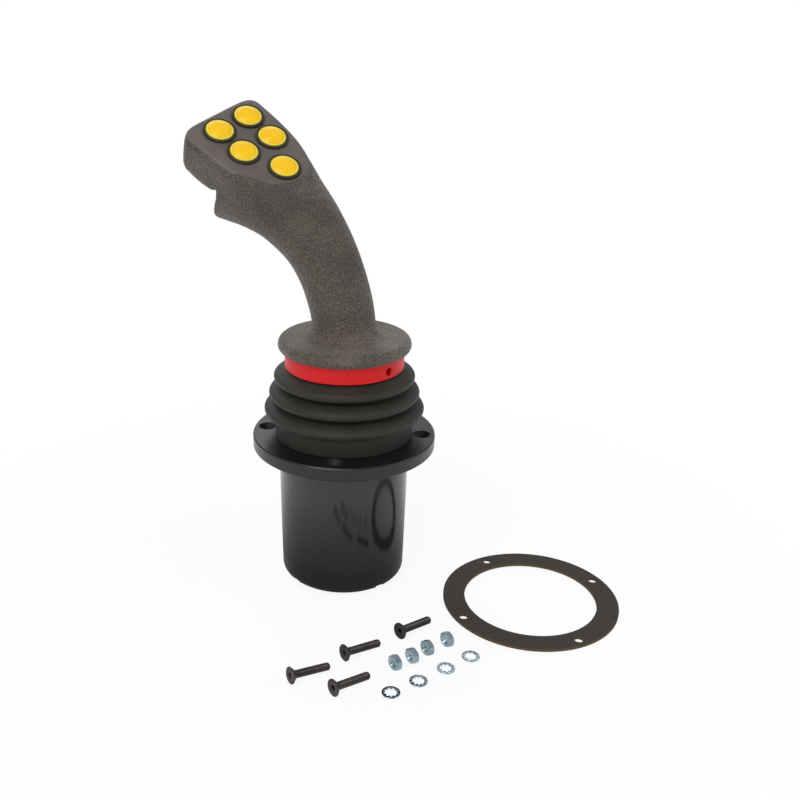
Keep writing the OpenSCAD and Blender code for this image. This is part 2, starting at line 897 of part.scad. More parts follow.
module roll_pins() {
    color(steel)
    translate([0, 0, pivot_z]) {
        y_bar(roll_pin_r, hub_core_r + 0.6, roll_magnet_y);
        y_bar(roll_pin_r, -roll_arm_y - arm_t, -hub_core_r - 0.6);
    }
}

module roll_magnet() {
    color(steel)
    translate([0, 0, pivot_z])
        y_bar(roll_magnet_r, roll_magnet_y, roll_magnet_y + magnet_t);
}

module roll_spring_arm() {
    color(steel)
    translate([0, -roll_arm_y, pivot_z])
        rotate([90, 0, 0])
            spring_arm(roll_pin_r, roll_peg_out, 1.2);
}

module roll_spring() {
    color(steel)
    translate([0, -ring_flat - spring_clear - spring_wire_r, pivot_z])
        rotate([0, 0, -90])
            wire(torsion_path(roll_spring_r, roll_spring_len - 2 * spring_wire_r, spring_turns,
                roll_peg_out + 1.5, peg_r + spring_wire_r + 0.1), spring_wire_r, [1, 0, 0]);
}

module boot_washer() {
    color(steel)
    translate([0, 0, washer_z])
        ring(washer_r, shaft_r + seat_gap, washer_t);
}

// Collar: a rim, a web under the grip, and a hub that the set screws pass through
module clamp_collar() {
    color(signal_red)
    difference() {
        union() {
            translate([0, 0, collar_bottom])
                ring(collar_r, collar_r - collar_rim, collar_h);
            translate([0, 0, collar_bottom])
                ring(collar_hub_r, shaft_r + seat_gap, collar_h);
            translate([0, 0, grip_bottom - collar_web])
                ring(collar_r - 1, shaft_r + seat_gap, collar_web);
        }
        around(collar_screw_count, collar_screw_angle)
            translate([0, 0, collar_bottom + collar_h * 0.45])
                x_bar(collar_screw_r + seat_gap, shaft_r - 1, collar_r + 5);
    }
}

module collar_screws() {
    color(steel)
    around(collar_screw_count, collar_screw_angle)
        translate([0, 0, collar_bottom + collar_h * 0.45])
            difference() {
                x_bar(collar_screw_r, shaft_r + 0.1, shaft_r + collar_screw_len);
                translate([shaft_r + collar_screw_len - 2.5, 0, 0])
                    rotate([0, 90, 0])
                        cylinder(h = 4, r = 1.15, $fn = 6);
            }
}

module grip_insert() {
    color(brass)
    translate([0, 0, grip_bottom])
        difference() {
            union() {
                cylinder(h = insert_h, r = insert_r);
                for (z = insert_rib_at)
                    translate([0, 0, z])
                        cylinder(h = insert_rib_h, r = insert_rib_r);
            }
            translate([0, 0, -1])
                cylinder(h = insert_h + 2, r = shaft_r + seat_gap);
        }
}

// --- grip ---------------------------------------------------------------------------------

function smooth(x) = let (c = min(max(x, 0), 1)) c * c * (3 - 2 * c);
function mix(a, b, k) = a + (b - a) * k;
function spine(t) =
    pow(1 - t, 2) * spine_start + 2 * t * (1 - t) * spine_corner + t * t * spine_end;
function spine_dir(t) =
    unit((1 - t) * (spine_corner - spine_start) + t * (spine_end - spine_corner));

// How far t has come from one place on the centre line to another, eased at both ends
function along(t, from, to) = smooth((t - from) / (to - from));

// Half sizes of the grip's section at t: across, towards the operator, and towards the fingers
function half_across(t) = mix(neck_half_w, head_half_w, along(t, 0.27, 1.04));
function half_back(t) = mix(neck_back, head_crown, along(t, 0.1, 0.56));
function half_front(t) = t > ledge_at
    ? head_depth / 2
    : neck_front + (ledge_reach - neck_front)
        * pow(max(t - ledge_from, 0) / (ledge_at - ledge_from), ledge_curve);
// How square the section is: 2 is an ellipse
function square_back(t) = mix(2, 4.7, along(t, 0.65, 0.93));
function square_front(t) = mix(2, 3.9, along(t, 0.45, 0.85));
function twist(t) = head_roll * along(t, 0.19, 0.71);
function side_shift(t) = head_depth / 2 * sin(twist(t)) + head_shift * along(t, 0.3, 0.8);

function radius_at(a, across, depth, power) =
    pow(pow(abs(cos(a)) / across, power) + pow(abs(sin(a)) / depth, power), -1 / power);

// One ring of the loft: t places it, shrink pulls it in and push moves it along the centre line
function grip_ring(t, shrink = 0, push = 0, drop = 0) =
    let (
        c = spine(t),
        d = spine_dir(t),
        up = [-d[1], d[0]],
        roll = twist(t),
        aside = side_shift(t)
    )
    [for (k = [0 : ring_sides - 1])
        let (
            a = 360 * k / ring_sides,
            back = a < 180,
            r = radius_at(a, half_across(t) - shrink,
                (back ? half_back(t) : half_front(t)) - shrink,
                back ? square_back(t) : square_front(t)),
            x = r * cos(a),
            n = r * sin(a),
            across = x * cos(roll) - n * sin(roll) + aside,
            rise = x * sin(roll) + n * cos(roll)
        )
        [across, c[0] + d[0] * push + up[0] * rise, c[1] + d[1] * push + up[1] * rise - drop]];

function grip_rings() = concat(
    [grip_ring(0, 0, 0, foot_h)],
    [for (i = [0 : neck_rings]) grip_ring(ledge_at * i / neck_rings)],
    [for (i = [0 : head_rings])
        grip_ring(ledge_at + ledge_step + (1 - ledge_at - ledge_step) * i / head_rings)],
    [for (i = [1 : nose_rings])
        let (a = 90 * i / (nose_rings + 0.5))
        grip_ring(1, nose_round * (1 - cos(a)), nose_round * sin(a))]
);

module grip_form() {
    rings = grip_rings();
    n = len(rings);
    points = [for (r = rings) each r];
    skin = [
        for (i = [0 : n - 2])
            for (k = [0 : ring_sides - 1])
                let (k2 = (k + 1) % ring_sides, a = i * ring_sides, b = a + ring_sides)
                each [[a + k, a + k2, b + k2], [a + k, b + k2, b + k]]
    ];
    foot = [for (k = [ring_sides - 1 : -1 : 0]) k];
    nose = [for (k = [0 : ring_sides - 1]) (n - 1) * ring_sides + k];
    polyhedron(points, concat(skin, [foot, nose]));
}

// Turned foot of the grip, with a fillet up to the neck
module grip_foot() {
    edge = foot_edge_r;
    rotate_extrude()
        polygon(concat(
            [[0, grip_bottom], [foot_r - edge, grip_bottom]],
            [for (a = [15 : 15 : 165])
                [foot_r - edge + edge * sin(a), grip_bottom + edge * (1 - cos(a))]],
            [[foot_r - edge - 2, grip_bottom + edge * 2]],
            [for (a = [0 : 15 : 75])
                [neck_back - 0.4 + foot_fillet_r * (1 - sin(a)),
                 grip_bottom + foot_h + foot_fillet_r * (1 - cos(a))]],
            [[0, grip_bottom + foot_h + foot_fillet_r]]
        ));
}

// Places its children in the frame of the button face: +X right, +Y to the front, +Z out of the face
module on_face() {
    rotate([0, 0, grip_yaw])
        translate([0, face_centre[0], face_centre[1]])
            rotate([head_slope, 0, 0])
                rotate([0, -head_roll, 0])
                    children();
}

// Outline of the face plate: a straight front end, and a tail round the thumb button
module plate_outline(inset = 0) {
    front = head_front + plate_over - inset;
    half = head_half_w + plate_over - inset;
    tail_x = tail_half_w - inset;
    tail_y = tail_len - inset;
    polygon(concat(
        [[-half, front], [-half, 0]],
        [for (a = [200 : 10 : 340])
            [tail_x * cos(a), tail_y * sin(a) - thumb_button_y + 2]],
        [[half, 0], [half, front]]
    ));
}

// The same frame for a single point
function turn_z(p, a) = [p[0] * cos(a) - p[1] * sin(a), p[0] * sin(a) + p[1] * cos(a), p[2]];
function turn_x(p, a) = [p[0], p[1] * cos(a) - p[2] * sin(a), p[1] * sin(a) + p[2] * cos(a)];
function turn_y(p, a) = [p[0] * cos(a) + p[2] * sin(a), p[1], -p[0] * sin(a) + p[2] * cos(a)];
function face_point(p) =
    turn_z([0, face_centre[0], face_centre[1]] + turn_x(turn_y(p, -head_roll), head_slope), grip_yaw);

module plate_region(inset, low, high) {
    translate([0, 0, low])
        linear_extrude(high - low)
            plate_outline(inset);
}

// Space under the face plate for the nuts and switches, and the way down to the shaft for their wires
module switch_cavity() {
    half = button_pitch_x / 2 + button_nut_r + 1.5;
    front = button_pitch_y / 2 + button_nut_flat + 0.5;
    tail = thumb_button_y + button_nut_flat + 0.5;
    tail_half = button_nut_r + 0.5;
    corner = 3;
    translate([0, 0, -cavity_depth])
        linear_extrude(cavity_depth + 1)
            polygon([
                [-half, front - corner], [-half + corner, front],
                [half - corner, front], [half, front - corner],
                [half, -button_pitch_y], [tail_half, -tail],
                [-tail_half, -tail], [-half, -button_pitch_y]
            ]);
}

module wire_channel() {
    start = [0, 0, shaft_top - 2];
    end = face_point([0, -thumb_button_y + 6, -cavity_depth + 3]);
    run = end - start;
    translate(start)
        rotate([0, acos(run[2] / norm(run)), atan2(run[1], run[0])])
            cylinder(h = norm(run), r = wire_way_r);
}

module grip_body() {
    big = 2 * (head_height + head_reach);
    color(grip_grey)
    difference() {
        union() {
            difference() {
                rotate([0, 0, grip_yaw])
                    grip_form();
                on_face()
                    translate([-big / 2, -cut_back, tail_rim])
                        cube([big, big, big / 2]);
            }
            grip_foot();
        }
        on_face() {
            plate_region(0, -plate_t, tail_rim + 1);
            switch_cavity();
        }
        wire_channel();
        translate([0, 0, grip_bottom - 1])
            cylinder(h = shaft_top - grip_bottom + 1.5, r = shaft_r + slip_gap);
        translate([0, 0, grip_bottom - 1])
            cylinder(h = insert_h + 1, r = insert_r + seat_gap);
        for (z = insert_rib_at)
            translate([0, 0, grip_bottom + z - seat_gap])
                cylinder(h = insert_rib_h + 2 * seat_gap, r = insert_rib_r + seat_gap);
    }
}

module face_plate() {
    color([0.36, 0.33, 0.30])
    difference() {
        intersection() {
            rotate([0, 0, grip_yaw])
                grip_form();
            on_face()
                plate_region(0.05, -plate_t + 0.05, 0);
        }
        on_face()
            for (p = button_at)
                translate([p[0], p[1], -plate_t - 1])
                    cylinder(h = plate_t + 2, r = barrel_r + slip_gap);
    }
}

module bezel() {
    rotate_extrude()
        polygon([
            [stem_r + running_gap, 0],
            [stem_r + running_gap, bezel_floor],
            [bezel_bore_r, bezel_floor],
            [bezel_bore_r, bezel_h - 0.2],
            [bezel_bore_r + 0.2, bezel_h],
            [bezel_r - 0.5, bezel_h],
            [bezel_r, bezel_h - 0.6],
            [bezel_r, 0.02],
            [barrel_r, 0.02],
            [barrel_r, -barrel_len],
            [barrel_bore_r, -barrel_len],
            [barrel_bore_r, 0]
        ]);
}

module button_bezels() {
    color(black)
    on_face()
        for (p = button_at)
            translate([p[0], p[1], 0])
                bezel();
}

module button_nuts() {
    color(steel)
    on_face()
        for (p = button_at)
            translate([p[0], p[1], -plate_t - button_nut_h - 0.02])
                difference() {
                    cylinder(h = button_nut_h, r = button_nut_r, $fn = 6);
                    translate([0, 0, -1])
                        cylinder(h = button_nut_h + 2, r = barrel_r + seat_gap);
                }
}

module button_switches() {
    color(black)
    on_face()
        for (p = button_at)
            translate([p[0], p[1], -barrel_len - switch_h]) {
                cylinder(h = switch_h - seat_gap, r = barrel_r);
                translate([0, 0, switch_h - 0.5])
                    cylinder(h = 2, r = 2);
                for (x = [-2.5, 2.5])
                    translate([x - 0.4, -1, -2])
                        cube([0.8, 2, 2.5]);
            }
}

function coil_path(r, len, turns, steps = 10) =
    [for (i = [0 : turns * steps])
        let (a = 360 * i / steps)
        [r * cos(a), r * sin(a), len * i / (turns * steps)]];

module button_springs() {
    low = -barrel_len + 0.6;
    high = -soft_gap - stem_foot_len - 0.4;
    color(steel)
    on_face()
        for (p = button_at)
            translate([p[0], p[1], low])
                wire(coil_path(2.9, high - low, 4), 0.3, [0, 0, 1], 5);
}

// Domed cap with a guided stem; the stem's foot rests under the bezel's floor
module button_cap(i) {
    p = button_at[i - 1];
    dome_r = (cap_r * cap_r * 0.64 + cap_dome_h * cap_dome_h) / (2 * cap_dome_h);
    dome_edge = cap_r * 0.8;
    color(signal_yellow)
    on_face()
        translate([p[0], p[1], 0])
            rotate_extrude()
                polygon(concat(
                    [
                        [0, -soft_gap - stem_foot_len],
                        [stem_foot_r - 0.6, -soft_gap - stem_foot_len],
                        [stem_foot_r - 0.6, -soft_gap - 1],
                        [stem_foot_r, -soft_gap - 1],
                        [stem_foot_r, -soft_gap],
                        [stem_r, -soft_gap],
                        [stem_r, cap_rest],
                        [cap_r, cap_rest],
                        [cap_r, cap_rest + cap_edge_h - 0.3],
                        [cap_r - 0.3, cap_rest + cap_edge_h],
                        [dome_edge + 0.4, cap_rest + cap_edge_h]
                    ],
                    [for (k = [0 : 5])
                        let (x = dome_edge * (1 - k / 5))
                        [x, cap_rest + cap_edge_h + cap_dome_h
                            - (dome_r - sqrt(dome_r * dome_r - x * x))]]
                ));
}

module button_cap_1() { button_cap(1); }
module button_cap_2() { button_cap(2); }
module button_cap_3() { button_cap(3); }
module button_cap_4() { button_cap(4); }
module button_cap_5() { button_cap(5); }

// --- mounting kit, laid out on the ground beside the base ------------------------------------

module in_kit(at, turn = 0) {
    rotate([0, 0, kit_turn])
        translate([at[0], at[1], 0])
            rotate([0, 0, turn])
                children();
}

module mounting_gasket() {
    color(black)
    in_kit(gasket_at)
        difference() {
            ring(gasket_out_r, gasket_out_r - gasket_w, gasket_t);
            around(bolt_count, gasket_bolt_turn)
                translate([bolt_circle_d / 2, 0, -1])
                    cylinder(h = gasket_t + 2, r = bolt_hole_r);
        }
}

// Countersunk screw lying on its head's rim and its tip, with its head towards -X
module mounting_screw() {
    shank_r = bolt_d / 2;
    head_h = bolt_head_r - shank_r;
    lean = asin((bolt_head_r - shank_r) / screw_len);
    translate([0, 0, bolt_head_r * cos(lean)])
        rotate([0, 90 + lean, 0])
            difference() {
                union() {
                    cylinder(h = 0.4, r = bolt_head_r);
                    translate([0, 0, 0.4])
                        cylinder(h = head_h, r1 = bolt_head_r, r2 = shank_r);
                    cylinder(h = screw_len - 0.5, r = shank_r);
                    translate([0, 0, screw_len - 0.5])
                        cylinder(h = 0.5, r1 = shank_r, r2 = shank_r - 0.5);
                }
                translate([0, 0, -1])
                    cylinder(h = 1 + bolt_d * 0.45, r = bolt_d * 0.36, $fn = 6);
            }
}

module mounting_screws() {
    color(black)
    for (i = [0 : len(screw_at) - 1])
        in_kit(screw_at[i], screw_dir[i])
            mounting_screw();
}

// Lock washer with a ring of inward teeth
module lock_washers() {
    color(zinc)
    for (p = washer_at)
        in_kit(p) {
            difference() {
                cylinder(h = lock_t, r = lock_out_r);
                translate([0, 0, -1])
                    cylinder(h = lock_t + 2, r = lock_in_r);
            }
            around(lock_teeth)
                translate([lock_tooth_r, -0.55, 0])
                    cube([lock_in_r - lock_tooth_r + 0.4, 1.1, lock_t]);
        }
}

module mounting_nuts() {
    color(zinc)
    for (p = nut_at)
        in_kit(p, nut_turn)
            translate([-nut_h / 2, 0, nut_flat_r])
                rotate([0, 90, 0])
                    difference() {
                        cylinder(h = nut_h, r = nut_corner_r, $fn = 6);
                        translate([0, 0, -1])
                            cylinder(h = nut_h + 2, r = bolt_d * 0.42);
                    }
}

mounting_flange();
lower_housing();
bottom_cover();
tie_screws();
connector_header();
connector_pins();
circuit_board();
board_screws();
limit_gate();
gate_screws();
pitch_bushes();
pitch_sensor();
pitch_spring();
boot();
gimbal_ring();
pitch_pins();
pitch_magnet();
pitch_spring_arm();
roll_bushes();
roll_sensor();
lever_hub();
lever_shaft();
shaft_nut();
roll_pins();
roll_magnet();
roll_spring_arm();
roll_spring();
boot_washer();
clamp_collar();
collar_screws();
grip_insert();
grip_body();
face_plate();
button_bezels();
button_nuts();
button_switches();
button_springs();
button_cap_1();
button_cap_2();
button_cap_3();
button_cap_4();
button_cap_5();
mounting_gasket();
mounting_screws();
lock_washers();
mounting_nuts();
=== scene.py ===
import math
from contextlib import contextmanager

import bmesh
import bpy
import numpy as np
from mathutils import Matrix, Vector


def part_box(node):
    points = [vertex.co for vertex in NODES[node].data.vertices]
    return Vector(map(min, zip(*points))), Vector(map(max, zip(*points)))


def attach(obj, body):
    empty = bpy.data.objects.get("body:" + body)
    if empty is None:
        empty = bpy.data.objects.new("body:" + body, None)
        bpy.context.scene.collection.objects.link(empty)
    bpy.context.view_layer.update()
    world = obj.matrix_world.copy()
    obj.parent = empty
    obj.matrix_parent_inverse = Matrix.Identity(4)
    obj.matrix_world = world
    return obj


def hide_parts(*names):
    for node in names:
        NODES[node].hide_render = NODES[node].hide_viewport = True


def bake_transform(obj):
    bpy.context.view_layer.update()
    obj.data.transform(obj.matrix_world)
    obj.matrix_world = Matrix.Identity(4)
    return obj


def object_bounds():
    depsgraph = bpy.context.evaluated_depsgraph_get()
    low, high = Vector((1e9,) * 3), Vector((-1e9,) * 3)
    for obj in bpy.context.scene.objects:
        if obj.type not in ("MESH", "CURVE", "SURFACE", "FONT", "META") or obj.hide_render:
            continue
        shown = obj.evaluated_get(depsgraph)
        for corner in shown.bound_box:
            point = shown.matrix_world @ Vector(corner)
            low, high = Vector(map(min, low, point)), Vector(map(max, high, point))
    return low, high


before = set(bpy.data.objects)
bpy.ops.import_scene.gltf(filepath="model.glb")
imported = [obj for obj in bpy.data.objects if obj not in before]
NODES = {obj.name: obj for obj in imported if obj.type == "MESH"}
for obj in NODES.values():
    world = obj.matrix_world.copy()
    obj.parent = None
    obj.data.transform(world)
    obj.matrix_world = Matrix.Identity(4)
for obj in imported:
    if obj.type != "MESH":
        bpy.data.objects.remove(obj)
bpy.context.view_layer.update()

MM = 0.001
WELD = 1e-6

# ------------------------------------------------------------
# Sizes, in millimetres and degrees. Heights and places come from the frame.
# ------------------------------------------------------------


def low(node):
    return Vector(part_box(node)[0]) / MM


def high(node):
    return Vector(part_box(node)[1]) / MM


SEAT_GAP = 0.02
FLANGE_TOP = low("boot").z - SEAT_GAP
BOOT_TOP = low("clamp_collar").z
GRIP_BOTTOM = high("clamp_collar").z

# Grip: a disc on the collar, a neck on a curved spine, and a head that leans forwards
GRIP_YAW = 16.0
GRIP_SIDES = 128
FOOT_R = 34.2
FOOT_H = 7.0
FOOT_BORE_R = 9.1
FOOT_UNDER_R = 20
FOOT_EDGE_R = 3.0
FOOT_EDGE_END = 20
FOOT_CROWN = 0.92
FOOT_FILLET_R = 7.0
NECK_HALF_W = 16.3
NECK_FRONT = 16.4
NECK_BACK = 15.6
NECK_RUN = 22.0
HEAD_CROWN = 17.2
HEAD_HALF_W = 25.0
HEAD_DEPTH = 26.5
HEAD_FRONT = 18.3
HEAD_SLOPE = 29.7
HEAD_ROLL = 19.4
HEAD_SHIFT = -1.4
HEAD_UNDER = HEAD_DEPTH / 2 + 0.2
HEAD_BELLY = 1.1
NOSE_ROUND = 6.3
NOSE_TURN = 86
FACE_CENTRE = (62.3, FLANGE_TOP + 147.3)
SPINE_LIFT = 1.2
SPINE_BEND = 2.5
SPINE_PAST = 2

# Places along the spine, from 0 at the foot to 1 at the nose, where its section changes
ROLL_SPAN = (0.19, 0.71)
SHIFT_SPAN = (0.3, 0.8)
WIDTH_SPAN = (0.27, 1.04)
CROWN_SPAN = (0.1, 0.56)
BACK_SPAN = (0.65, 0.93)
FRONT_SPAN = (0.45, 0.85)
LEDGE_FROM = 0.62
LEDGE_AT = 0.86
LEDGE_PER_MM = 0.012 / 1.7
LEDGE_REACH = 31.2
LEDGE_CURVE = 1.63

# Powers of the section: 2 is an ellipse, and a higher one is squarer
ROUND_POWER = 2.0
BACK_POWER = 4.7
FRONT_POWER = 3.9

# Rings of points in each stretch of the grip
EDGE_RINGS = 9
CROWN_RINGS = 6
FILLET_RINGS = 9
TOP_RINGS = 5
NECK_RINGS = 84
HEAD_RINGS = 16
NOSE_RINGS = 12

# Face plate
FACE_LEVEL = -0.9
PLATE_T = 2.5
PLATE_OVER = 8.0
PLATE_EDGE_R = 1.4
PLATE_EDGE_STEPS = 5
PLATE_GAP = 0.08
PLATE_SEAT = 0.05
TAIL_RIM = 0.7
TAIL_HALF_W = 16.5
TAIL_LEN = 12.2
TAIL_AHEAD = 2
TAIL_ARC = (200, 340)
TAIL_STEPS = 28
CUT_ABOVE = 10
CUT_BELOW = 3
CUT_WELD = 0.02

# Buttons
PITCH_X = 19.4
PITCH_Y = 18.2
THUMB_Y = 28.4
BUTTON_AT = [
    (-PITCH_X / 2, PITCH_Y / 2),
    (PITCH_X / 2, PITCH_Y / 2),
    (-PITCH_X / 2, -PITCH_Y / 2),
    (PITCH_X / 2, -PITCH_Y / 2),
    (0.0, -THUMB_Y),
]
BUTTON_SIDES = 72
CAP_R = 7.1
CAP_EDGE_H = 1.1
CAP_EDGE_R = 0.35
CAP_BREAK = 0.3
CAP_FLAT_W = 1.0
CAP_CROWN_H = 1.36
# Inset from the cap's edge and height above its flat ring, over the dome
CAP_DOME = ((CAP_FLAT_W, 0.03), (1.2, 0.1), (1.45, 0.3), (1.75, 0.58), (2.1, 0.83),
            (2.55, 1.02), (3.2, 1.17), (4.2, 1.28), (5.6, 1.34))
STEM_LOW = -2.9
STEM_R = 3.0
STEM_FOOT_R = 4.0
STEM_FOOT_H = 1.0
BEZEL_H = 1.5
BEZEL_BORE_R = CAP_R + 0.3
BEZEL_R = BEZEL_BORE_R + 1.1
BEZEL_EDGE_R = 0.5
BEZEL_SEAT_H = 0.02
POCKET_R = BEZEL_BORE_R + 0.55
POCKET_GAP = 0.05
POCKET_FLOOR = -1.4
POCKET_T = 0.18
POCKET_HOLE_R = 3.1
BARREL_R = 5.2
BARREL_BORE_R = 4.3
BARREL_LOW = -9.1

# Mounting kit
SCREW_R = 2.0
SCREW_ROOT = 1.6
SCREW_MORE = 1.0
SCREW_SIDES = 36
HEAD_RIM = 0.35
HEAD_BREAK = 0.12
THREAD_PITCH = 0.7
THREAD_STEPS = 6
THREAD_POWER = 0.8
SOCKET_FLAT = 1.25
SOCKET_DEPTH = 2.0
SOCKET_TOWARD = (0.3, 0.1, 1.0)
NUT_SIDES = 72
NUT_MOUTH_R = 2.2
NUT_MOUTH_H = 0.3
NUT_CONE = 1.73
NUT_CONE_IN = 0.12
NUT_STEPS = 22
WASHER_R = 4.35
WASHER_BORE_R = 3.42
WASHER_BREAK = 0.06
WASHER_TEETH = 9
TOOTH_R = 2.7
TOOTH_ROOT = 0.05
TOOTH_SHARE = 0.6
TOOTH_TWIST = 0.28
TOOTH_SIDES = 20
WASHER_LIFT = TOOTH_TWIST * 0.6
# Vertices this near to the one furthest out belong to the same rim or corners
RIM_BAND = 0.05

# Base
BOLT_EDGE = 7.0
BOLT_COUNT = 4
BOLT_START = 45
COUNTERSINK_R = 4.9
LEVEL_NORMAL = 0.95
HOUSING_SKIN = 0.4
HOUSING_LIP_W = 5.5
HOUSING_LIP_H = 5.0
DRAFT_LOW = 0.5
DRAFT_HIGH = 1.7

# Boot: heights are above the flange
BOOT_SIDES = 128
BOOT_T = 1.6
BOOT_SKIRT_R = 36.0
BOOT_FOLD_R = 41.7
BOOT_FOLD_STEP = 2.6
BOOT_FOLD_Z = (14.1, 22.85, 31.6)
# A fold's section, out from its crest and up from its middle, and the groove above it
BOOT_FOLD = ((-4.2, -3.0), (-2.4, -2.7), (-1.0, -2.0), (-0.2, -0.9),
             (0.0, 0.1), (-0.35, 1.1), (-1.3, 2.0), (-3.2, 3.0))
BOOT_GROOVE = ((-6.2, 4.1), (-7.4, 4.7))
BOOT_RISE = (-5.6, 5.4)
BOOT_LAST = (-5.4, 4.1)
BOOT_NECK = ((27.5, -0.45), (24.0, 0.0))
BOOT_BEND_LOW = 9.0
BOOT_BEND_HIGH = 1.0

# Floor, in metres
FLOOR_HALF = 3.0
FLOOR_GAP = 0.0002
SHADOW_REACH = (0.12, 0.28)
# Reach of the painted shade that the floor shows in reflections near the foot
PAINTED_SHADE_REACH = (0.045, 0.13)
WHITE = (1, 1, 1, 1)


# ------------------------------------------------------------
# Mesh helpers
# ------------------------------------------------------------


@contextmanager
def editing(mesh):
    """A BMesh of a mesh, written back to it at the end."""
    bm = bmesh.new()
    bm.from_mesh(mesh)
    yield bm
    bm.to_mesh(mesh)
    bm.free()


def new_object(name, data):
    obj = bpy.data.objects.new(name, data)
    bpy.context.scene.collection.objects.link(obj)
    return obj


def mesh_object(name, verts, faces, scale=MM):
    mesh = bpy.data.meshes.new(name)
    mesh.from_pydata([tuple(c * scale for c in v) for v in verts], [], faces)
    mesh.update()
    mesh.validate()
    return new_object(name, mesh)


def solid(name, verts, faces, scale=MM):
    """A closed smooth mesh with its faces turned outwards."""
    obj = mesh_object(name, verts, faces, scale)
    obj.data.polygons.foreach_set("use_smooth", [True] * len(obj.data.polygons))
    with editing(obj.data) as bm:
        bmesh.ops.recalc_face_normals(bm, faces=bm.faces)
    return obj


def around(sides):
    """The angles of a full turn's corners."""
    return [2 * math.pi * k / sides for k in range(sides)]


def sweep(start, end, steps):
    """Angles from one number of degrees to another, both included, in radians."""
    return [math.radians(start + (end - start) * i / steps) for i in range(steps + 1)]


def arc(cx, cz, r, start, end, steps):
    """Points of an arc in a profile, angles in degrees from +radius towards +height."""
    return [(cx + r * math.cos(a), cz + r * math.sin(a)) for a in sweep(start, end, steps)]


def grid_faces(rings, sides, closed=False):
    """The faces between rings of corners that follow one another."""
    faces = []
    for i in range(rings if closed else rings - 1):
        j = (i + 1) % rings
        for k in range(sides):
            k2 = (k + 1) % sides
            faces.append((i * sides + k, i * sides + k2, j * sides + k2, j * sides + k))
    return faces


def lathe(name, profile, sides):
    """A ring: a closed profile of (radius, height), clear of the axis, turned about Z."""
    n = len(profile)
    verts = [(r * math.cos(a), r * math.sin(a), z) for a in around(sides) for r, z in profile]
    faces = []
    for k in range(sides):
        k2 = (k + 1) % sides
        for i in range(n):
            j = (i + 1) % n
            faces.append((k * n + i, k2 * n + i, k2 * n + j, k * n + j))
    return solid(name, verts, faces)


def lathe_disc(name, profile, sides):
    """A disc: a profile that starts and ends on the axis, turned about Z."""
    inner = profile[1:-1]
    n = len(inner)
    verts = [(0, 0, profile[0][1]), (0, 0, profile[-1][1])]
    verts += [(r * math.cos(a), r * math.sin(a), z) for a in around(sides) for r, z in inner]
    faces = []
    for k in range(sides):
        a, b = 2 + k * n, 2 + ((k + 1) % sides) * n
        faces.append((0, b, a))
        faces.append((1, a + n - 1, b + n - 1))
        for i in range(n - 1):
            faces.append((a + i, b + i, b + i + 1, a + i + 1))
    return solid(name, verts, faces)


def prism(outline, z0, z1, matrix):
    """A cutter over a closed outline of (x, y), placed by a matrix, all in millimetres."""
    n = len(outline)
    verts = [matrix @ Vector((x, y, z)) for z in (z0, z1) for x, y in outline]
    faces = [tuple(range(n - 1, -1, -1)), tuple(range(n, 2 * n))]
    faces += [(i, (i + 1) % n, n + (i + 1) % n, n + i) for i in range(n)]
    return mesh_object("cutter", verts, faces, scale=1.0)


def boolean(obj, cutter, operation="DIFFERENCE"):
    """Cuts a piece with another form, and removes that form."""
    mod = obj.modifiers.new("cut", "BOOLEAN")
    mod.operation = operation
    mod.solver = "EXACT"
    mod.object = cutter
    deps = bpy.context.evaluated_depsgraph_get()
    mesh = bpy.data.meshes.new_from_object(obj.evaluated_get(deps))
    old = obj.data
    obj.modifiers.clear()
    obj.data = mesh
    mesh.name = obj.name
    bpy.data.meshes.remove(old)
    bpy.data.objects.remove(cutter)


def shade_by_angle(obj, angle):
    obj.data.polygons.foreach_set("use_smooth", [True] * len(obj.data.polygons))
    limit = math.radians(angle)
    with editing(obj.data) as bm:
        for e in bm.edges:
            e.smooth = len(e.link_faces) == 2 and e.calc_face_angle(0) < limit


def to_metres(obj):
    """Shapes that are cut with booleans are made in millimetres and shrunk at the end."""
    obj.data.transform(Matrix.Scale(MM, 4))
    obj.data.update()


def place(obj, matrix):
    """Moves the mesh, not the object, by a matrix in millimetres."""
    m = matrix.copy()
    m.translation = m.translation * MM
    obj.data.transform(m)


def merge(name, objects):
    """One object from several, which are removed."""
    bm = bmesh.new()
    for o in objects:
        bm.from_mesh(o.data)
    mesh = bpy.data.meshes.new(name)
    bm.to_mesh(mesh)
    bm.free()
    for o in objects:
        bpy.data.objects.remove(o)
    return new_object(name, mesh)


# ------------------------------------------------------------
# Materials
# ------------------------------------------------------------


def srgb(r, g, b):
    def lin(c):
        c /= 255
        return c / 12.92 if c <= 0.04045 else ((c + 0.055) / 1.055) ** 2.4
    return (lin(r), lin(g), lin(b), 1.0)


class Tree:
    """A node tree, with short ways to add and link its nodes."""

    def __init__(self, tree):
        self.tree = tree

    def feed(self, socket, value):
        """Links an input to another node's output, or gives it a value of its own."""
        if isinstance(value, bpy.types.NodeSocket):
            self.tree.links.new(value, socket)
        else:
            socket.default_value = value

    def node(self, kind, props=None, **inputs):
        n = self.tree.nodes.new(kind)
        for key, value in (props or {}).items():
            setattr(n, key, value)
        for key, value in inputs.items():
            self.feed(n.inputs[key.replace("_", " ")], value)
        return n

    def mapped(self, fac, lo, hi, from_lo=0.0, from_hi=1.0):
        n = self.node("ShaderNodeMapRange", Value=fac, From_Min=from_lo, From_Max=from_hi,
                      To_Min=lo, To_Max=hi)
        return n.outputs["Result"]

    def math(self, op, *values):
        n = self.node("ShaderNodeMath", {"operation": op})
        for socket, value in zip(n.inputs, values):
            self.feed(socket, value)
        return n.outputs[0]

    def mix_shaders(self, fac, a, b):
        n = self.node("ShaderNodeMixShader")
        for socket, value in zip(n.inputs, (fac, a, b)):
            self.feed(socket, value)
        return n.outputs[0]


